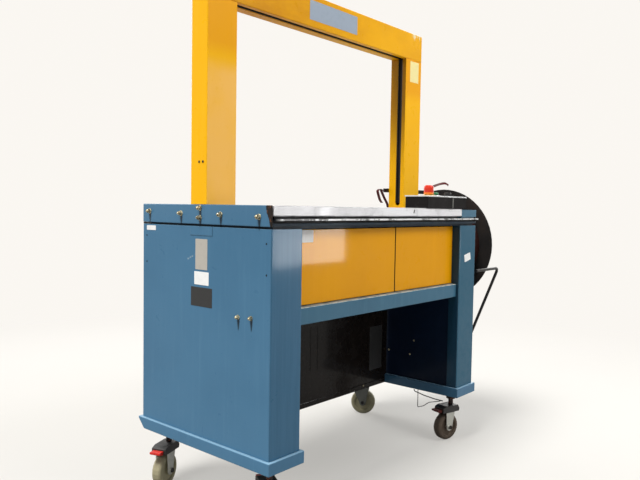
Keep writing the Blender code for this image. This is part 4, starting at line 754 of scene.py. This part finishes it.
def make_floor():
    """A flat pale floor that keeps the machine's shadow, with a painted shadow darkening it under the machine, and
    fades into the backdrop: one square at height zero.
    """
    side = np.array([-30.0, 30.0])
    x, y = np.meshgrid(side, side)
    points = np.stack([x, y, np.zeros_like(x)], axis=-1).reshape(-1, 3)
    mesh = bpy.data.meshes.new("floor")
    mesh.from_pydata(points.tolist(), [], [(0, 1, 3, 2)])
    made = bpy.data.objects.new("floor", mesh)
    bpy.context.scene.collection.objects.link(made)
    finish = Finish("floor_paint", (0.335, 0.330, 0.318), 0.9, Specular_IOR_Level=0.0)
    finish.tint(finish.between(finish.noise(1.5, 3.0), 0.4, 0.7, 0.0, 0.3), (0.325, 0.320, 0.308))
    # Painted shadow: the floor darker in an oval under the machine.
    under = finish.tree.nodes.new("ShaderNodeVectorMath")
    under.operation = "LENGTH"
    finish.put(under.inputs[0], finish.stretched((1.9, 4.2, 1.0), (-0.08, 0.02, 0.0)))
    finish.tint(finish.between(under.outputs["Value"], 0.0, 1.15, 0.75, 0.0), (0.17, 0.168, 0.163))
    tree = finish.tree
    glow = tree.nodes.new("ShaderNodeEmission")
    glow.inputs["Color"].default_value = (0.345, 0.334, 0.313, 1.0)
    both = tree.nodes.new("ShaderNodeAddShader")
    tree.links.new(finish.shader.outputs[0], both.inputs[0])
    tree.links.new(glow.outputs[0], both.inputs[1])
    plain = tree.nodes.new("ShaderNodeEmission")
    plain.inputs["Color"].default_value = (*BACKDROP, 1.0)
    length = tree.nodes.new("ShaderNodeVectorMath")
    length.operation = "LENGTH"
    tree.links.new(finish.place, length.inputs[0])
    away = finish.between(length.outputs["Value"], 1.3, 3.2)
    fade = tree.nodes.new("ShaderNodeMixShader")
    tree.links.new(away, fade.inputs[0])
    tree.links.new(both.outputs[0], fade.inputs[1])
    tree.links.new(plain.outputs[0], fade.inputs[2])
    path = tree.nodes.new("ShaderNodeLightPath")
    seen = tree.nodes.new("ShaderNodeMixShader")
    tree.links.new(path.outputs["Is Camera Ray"], seen.inputs[0])
    tree.links.new(finish.shader.outputs[0], seen.inputs[1])
    tree.links.new(fade.outputs[0], seen.inputs[2])
    tree.links.new(seen.outputs[0], tree.nodes["Material Output"].inputs["Surface"])
    mesh.materials.append(finish.material)


def area_light(name, place, target, size, power, colour=(1.0, 1.0, 1.0)):
    """A rectangular lamp at a place, turned to face a target."""
    data = bpy.data.lights.new(name, "AREA")
    data.shape = "RECTANGLE"
    data.size, data.size_y = size
    data.energy = power
    data.color = colour
    made = bpy.data.objects.new(name, data)
    where = Vector(at(*place))
    made.matrix_world = (
        Matrix.Translation(where) @ (Vector(at(*target)) - where).to_track_quat("-Z", "Y").to_matrix().to_4x4()
    )
    bpy.context.scene.collection.objects.link(made)


def make_light():
    """A pale room seen by the camera and in reflections, a low grey fill, a ceiling lamp and five area lamps."""
    world = bpy.data.worlds.new("room")
    bpy.context.scene.world = world
    world.use_nodes = True
    tree = world.node_tree
    tree.nodes.clear()
    output = tree.nodes.new("ShaderNodeOutputWorld")
    seen = tree.nodes.new("ShaderNodeBackground")
    seen.inputs["Color"].default_value = (*BACKDROP, 1.0)
    fill = tree.nodes.new("ShaderNodeBackground")
    fill.inputs["Color"].default_value = (0.93, 0.96, 1.0, 1.0)
    fill.inputs["Strength"].default_value = 0.20
    path = tree.nodes.new("ShaderNodeLightPath")
    shown = path.outputs["Is Camera Ray"]
    for other in ("Is Transmission Ray", "Is Glossy Ray"):
        either = tree.nodes.new("ShaderNodeMath")
        either.operation = "MAXIMUM"
        tree.links.new(shown, either.inputs[0])
        tree.links.new(path.outputs[other], either.inputs[1])
        shown = either.outputs[0]
    mix = tree.nodes.new("ShaderNodeMixShader")
    tree.links.new(shown, mix.inputs[0])
    tree.links.new(fill.outputs[0], mix.inputs[1])
    tree.links.new(seen.outputs[0], mix.inputs[2])
    tree.links.new(mix.outputs[0], output.inputs["Surface"])
    sun = bpy.data.lights.new("ceiling_lamp", "SUN")
    sun.energy = 4.0
    sun.angle = math.radians(24.0)
    sun.color = (1.0, 0.985, 0.96)
    lamp = bpy.data.objects.new("ceiling_lamp", sun)
    lamp.matrix_world = Vector((1.0, -0.15, -2.15)).to_track_quat("-Z", "Y").to_matrix().to_4x4()
    bpy.context.scene.collection.objects.link(lamp)
    area_light("front_softbox", (1.2, -2.2, 3.0), (0.5, 0.1, 0.9), (1.8, 1.2), 62.0)
    area_light("low_window", (2.88, -2.4, 0.55), (2.88, 0.0, 0.55), (0.99, 0.31), 14.0)
    area_light("left_wall", (-4.2, 0.6, 1.8), (0.0, 0.3, 0.9), (2.4, 2.4), 30.0)
    area_light("right_wall", (5.0, 1.0, 2.2), (1.0, 0.3, 0.8), (2.4, 2.4), 60.0)
    area_light("rear_window", (0.7, 4.6, 2.4), (0.5, 0.5, 0.8), (2.8, 2.2), 110.0)


bpy.context.scene.view_settings.view_transform = "Standard"
make_camera()
make_floor()
make_light()
finish_blue_sheet()
finish_yellow_sheet()
finish_table()
finish_black_parts()
finish_strap()
finish_casters()
finish_inside()
finish_controls()
make_bolts()
make_labels()
make_axle_nuts()
make_control_fittings()
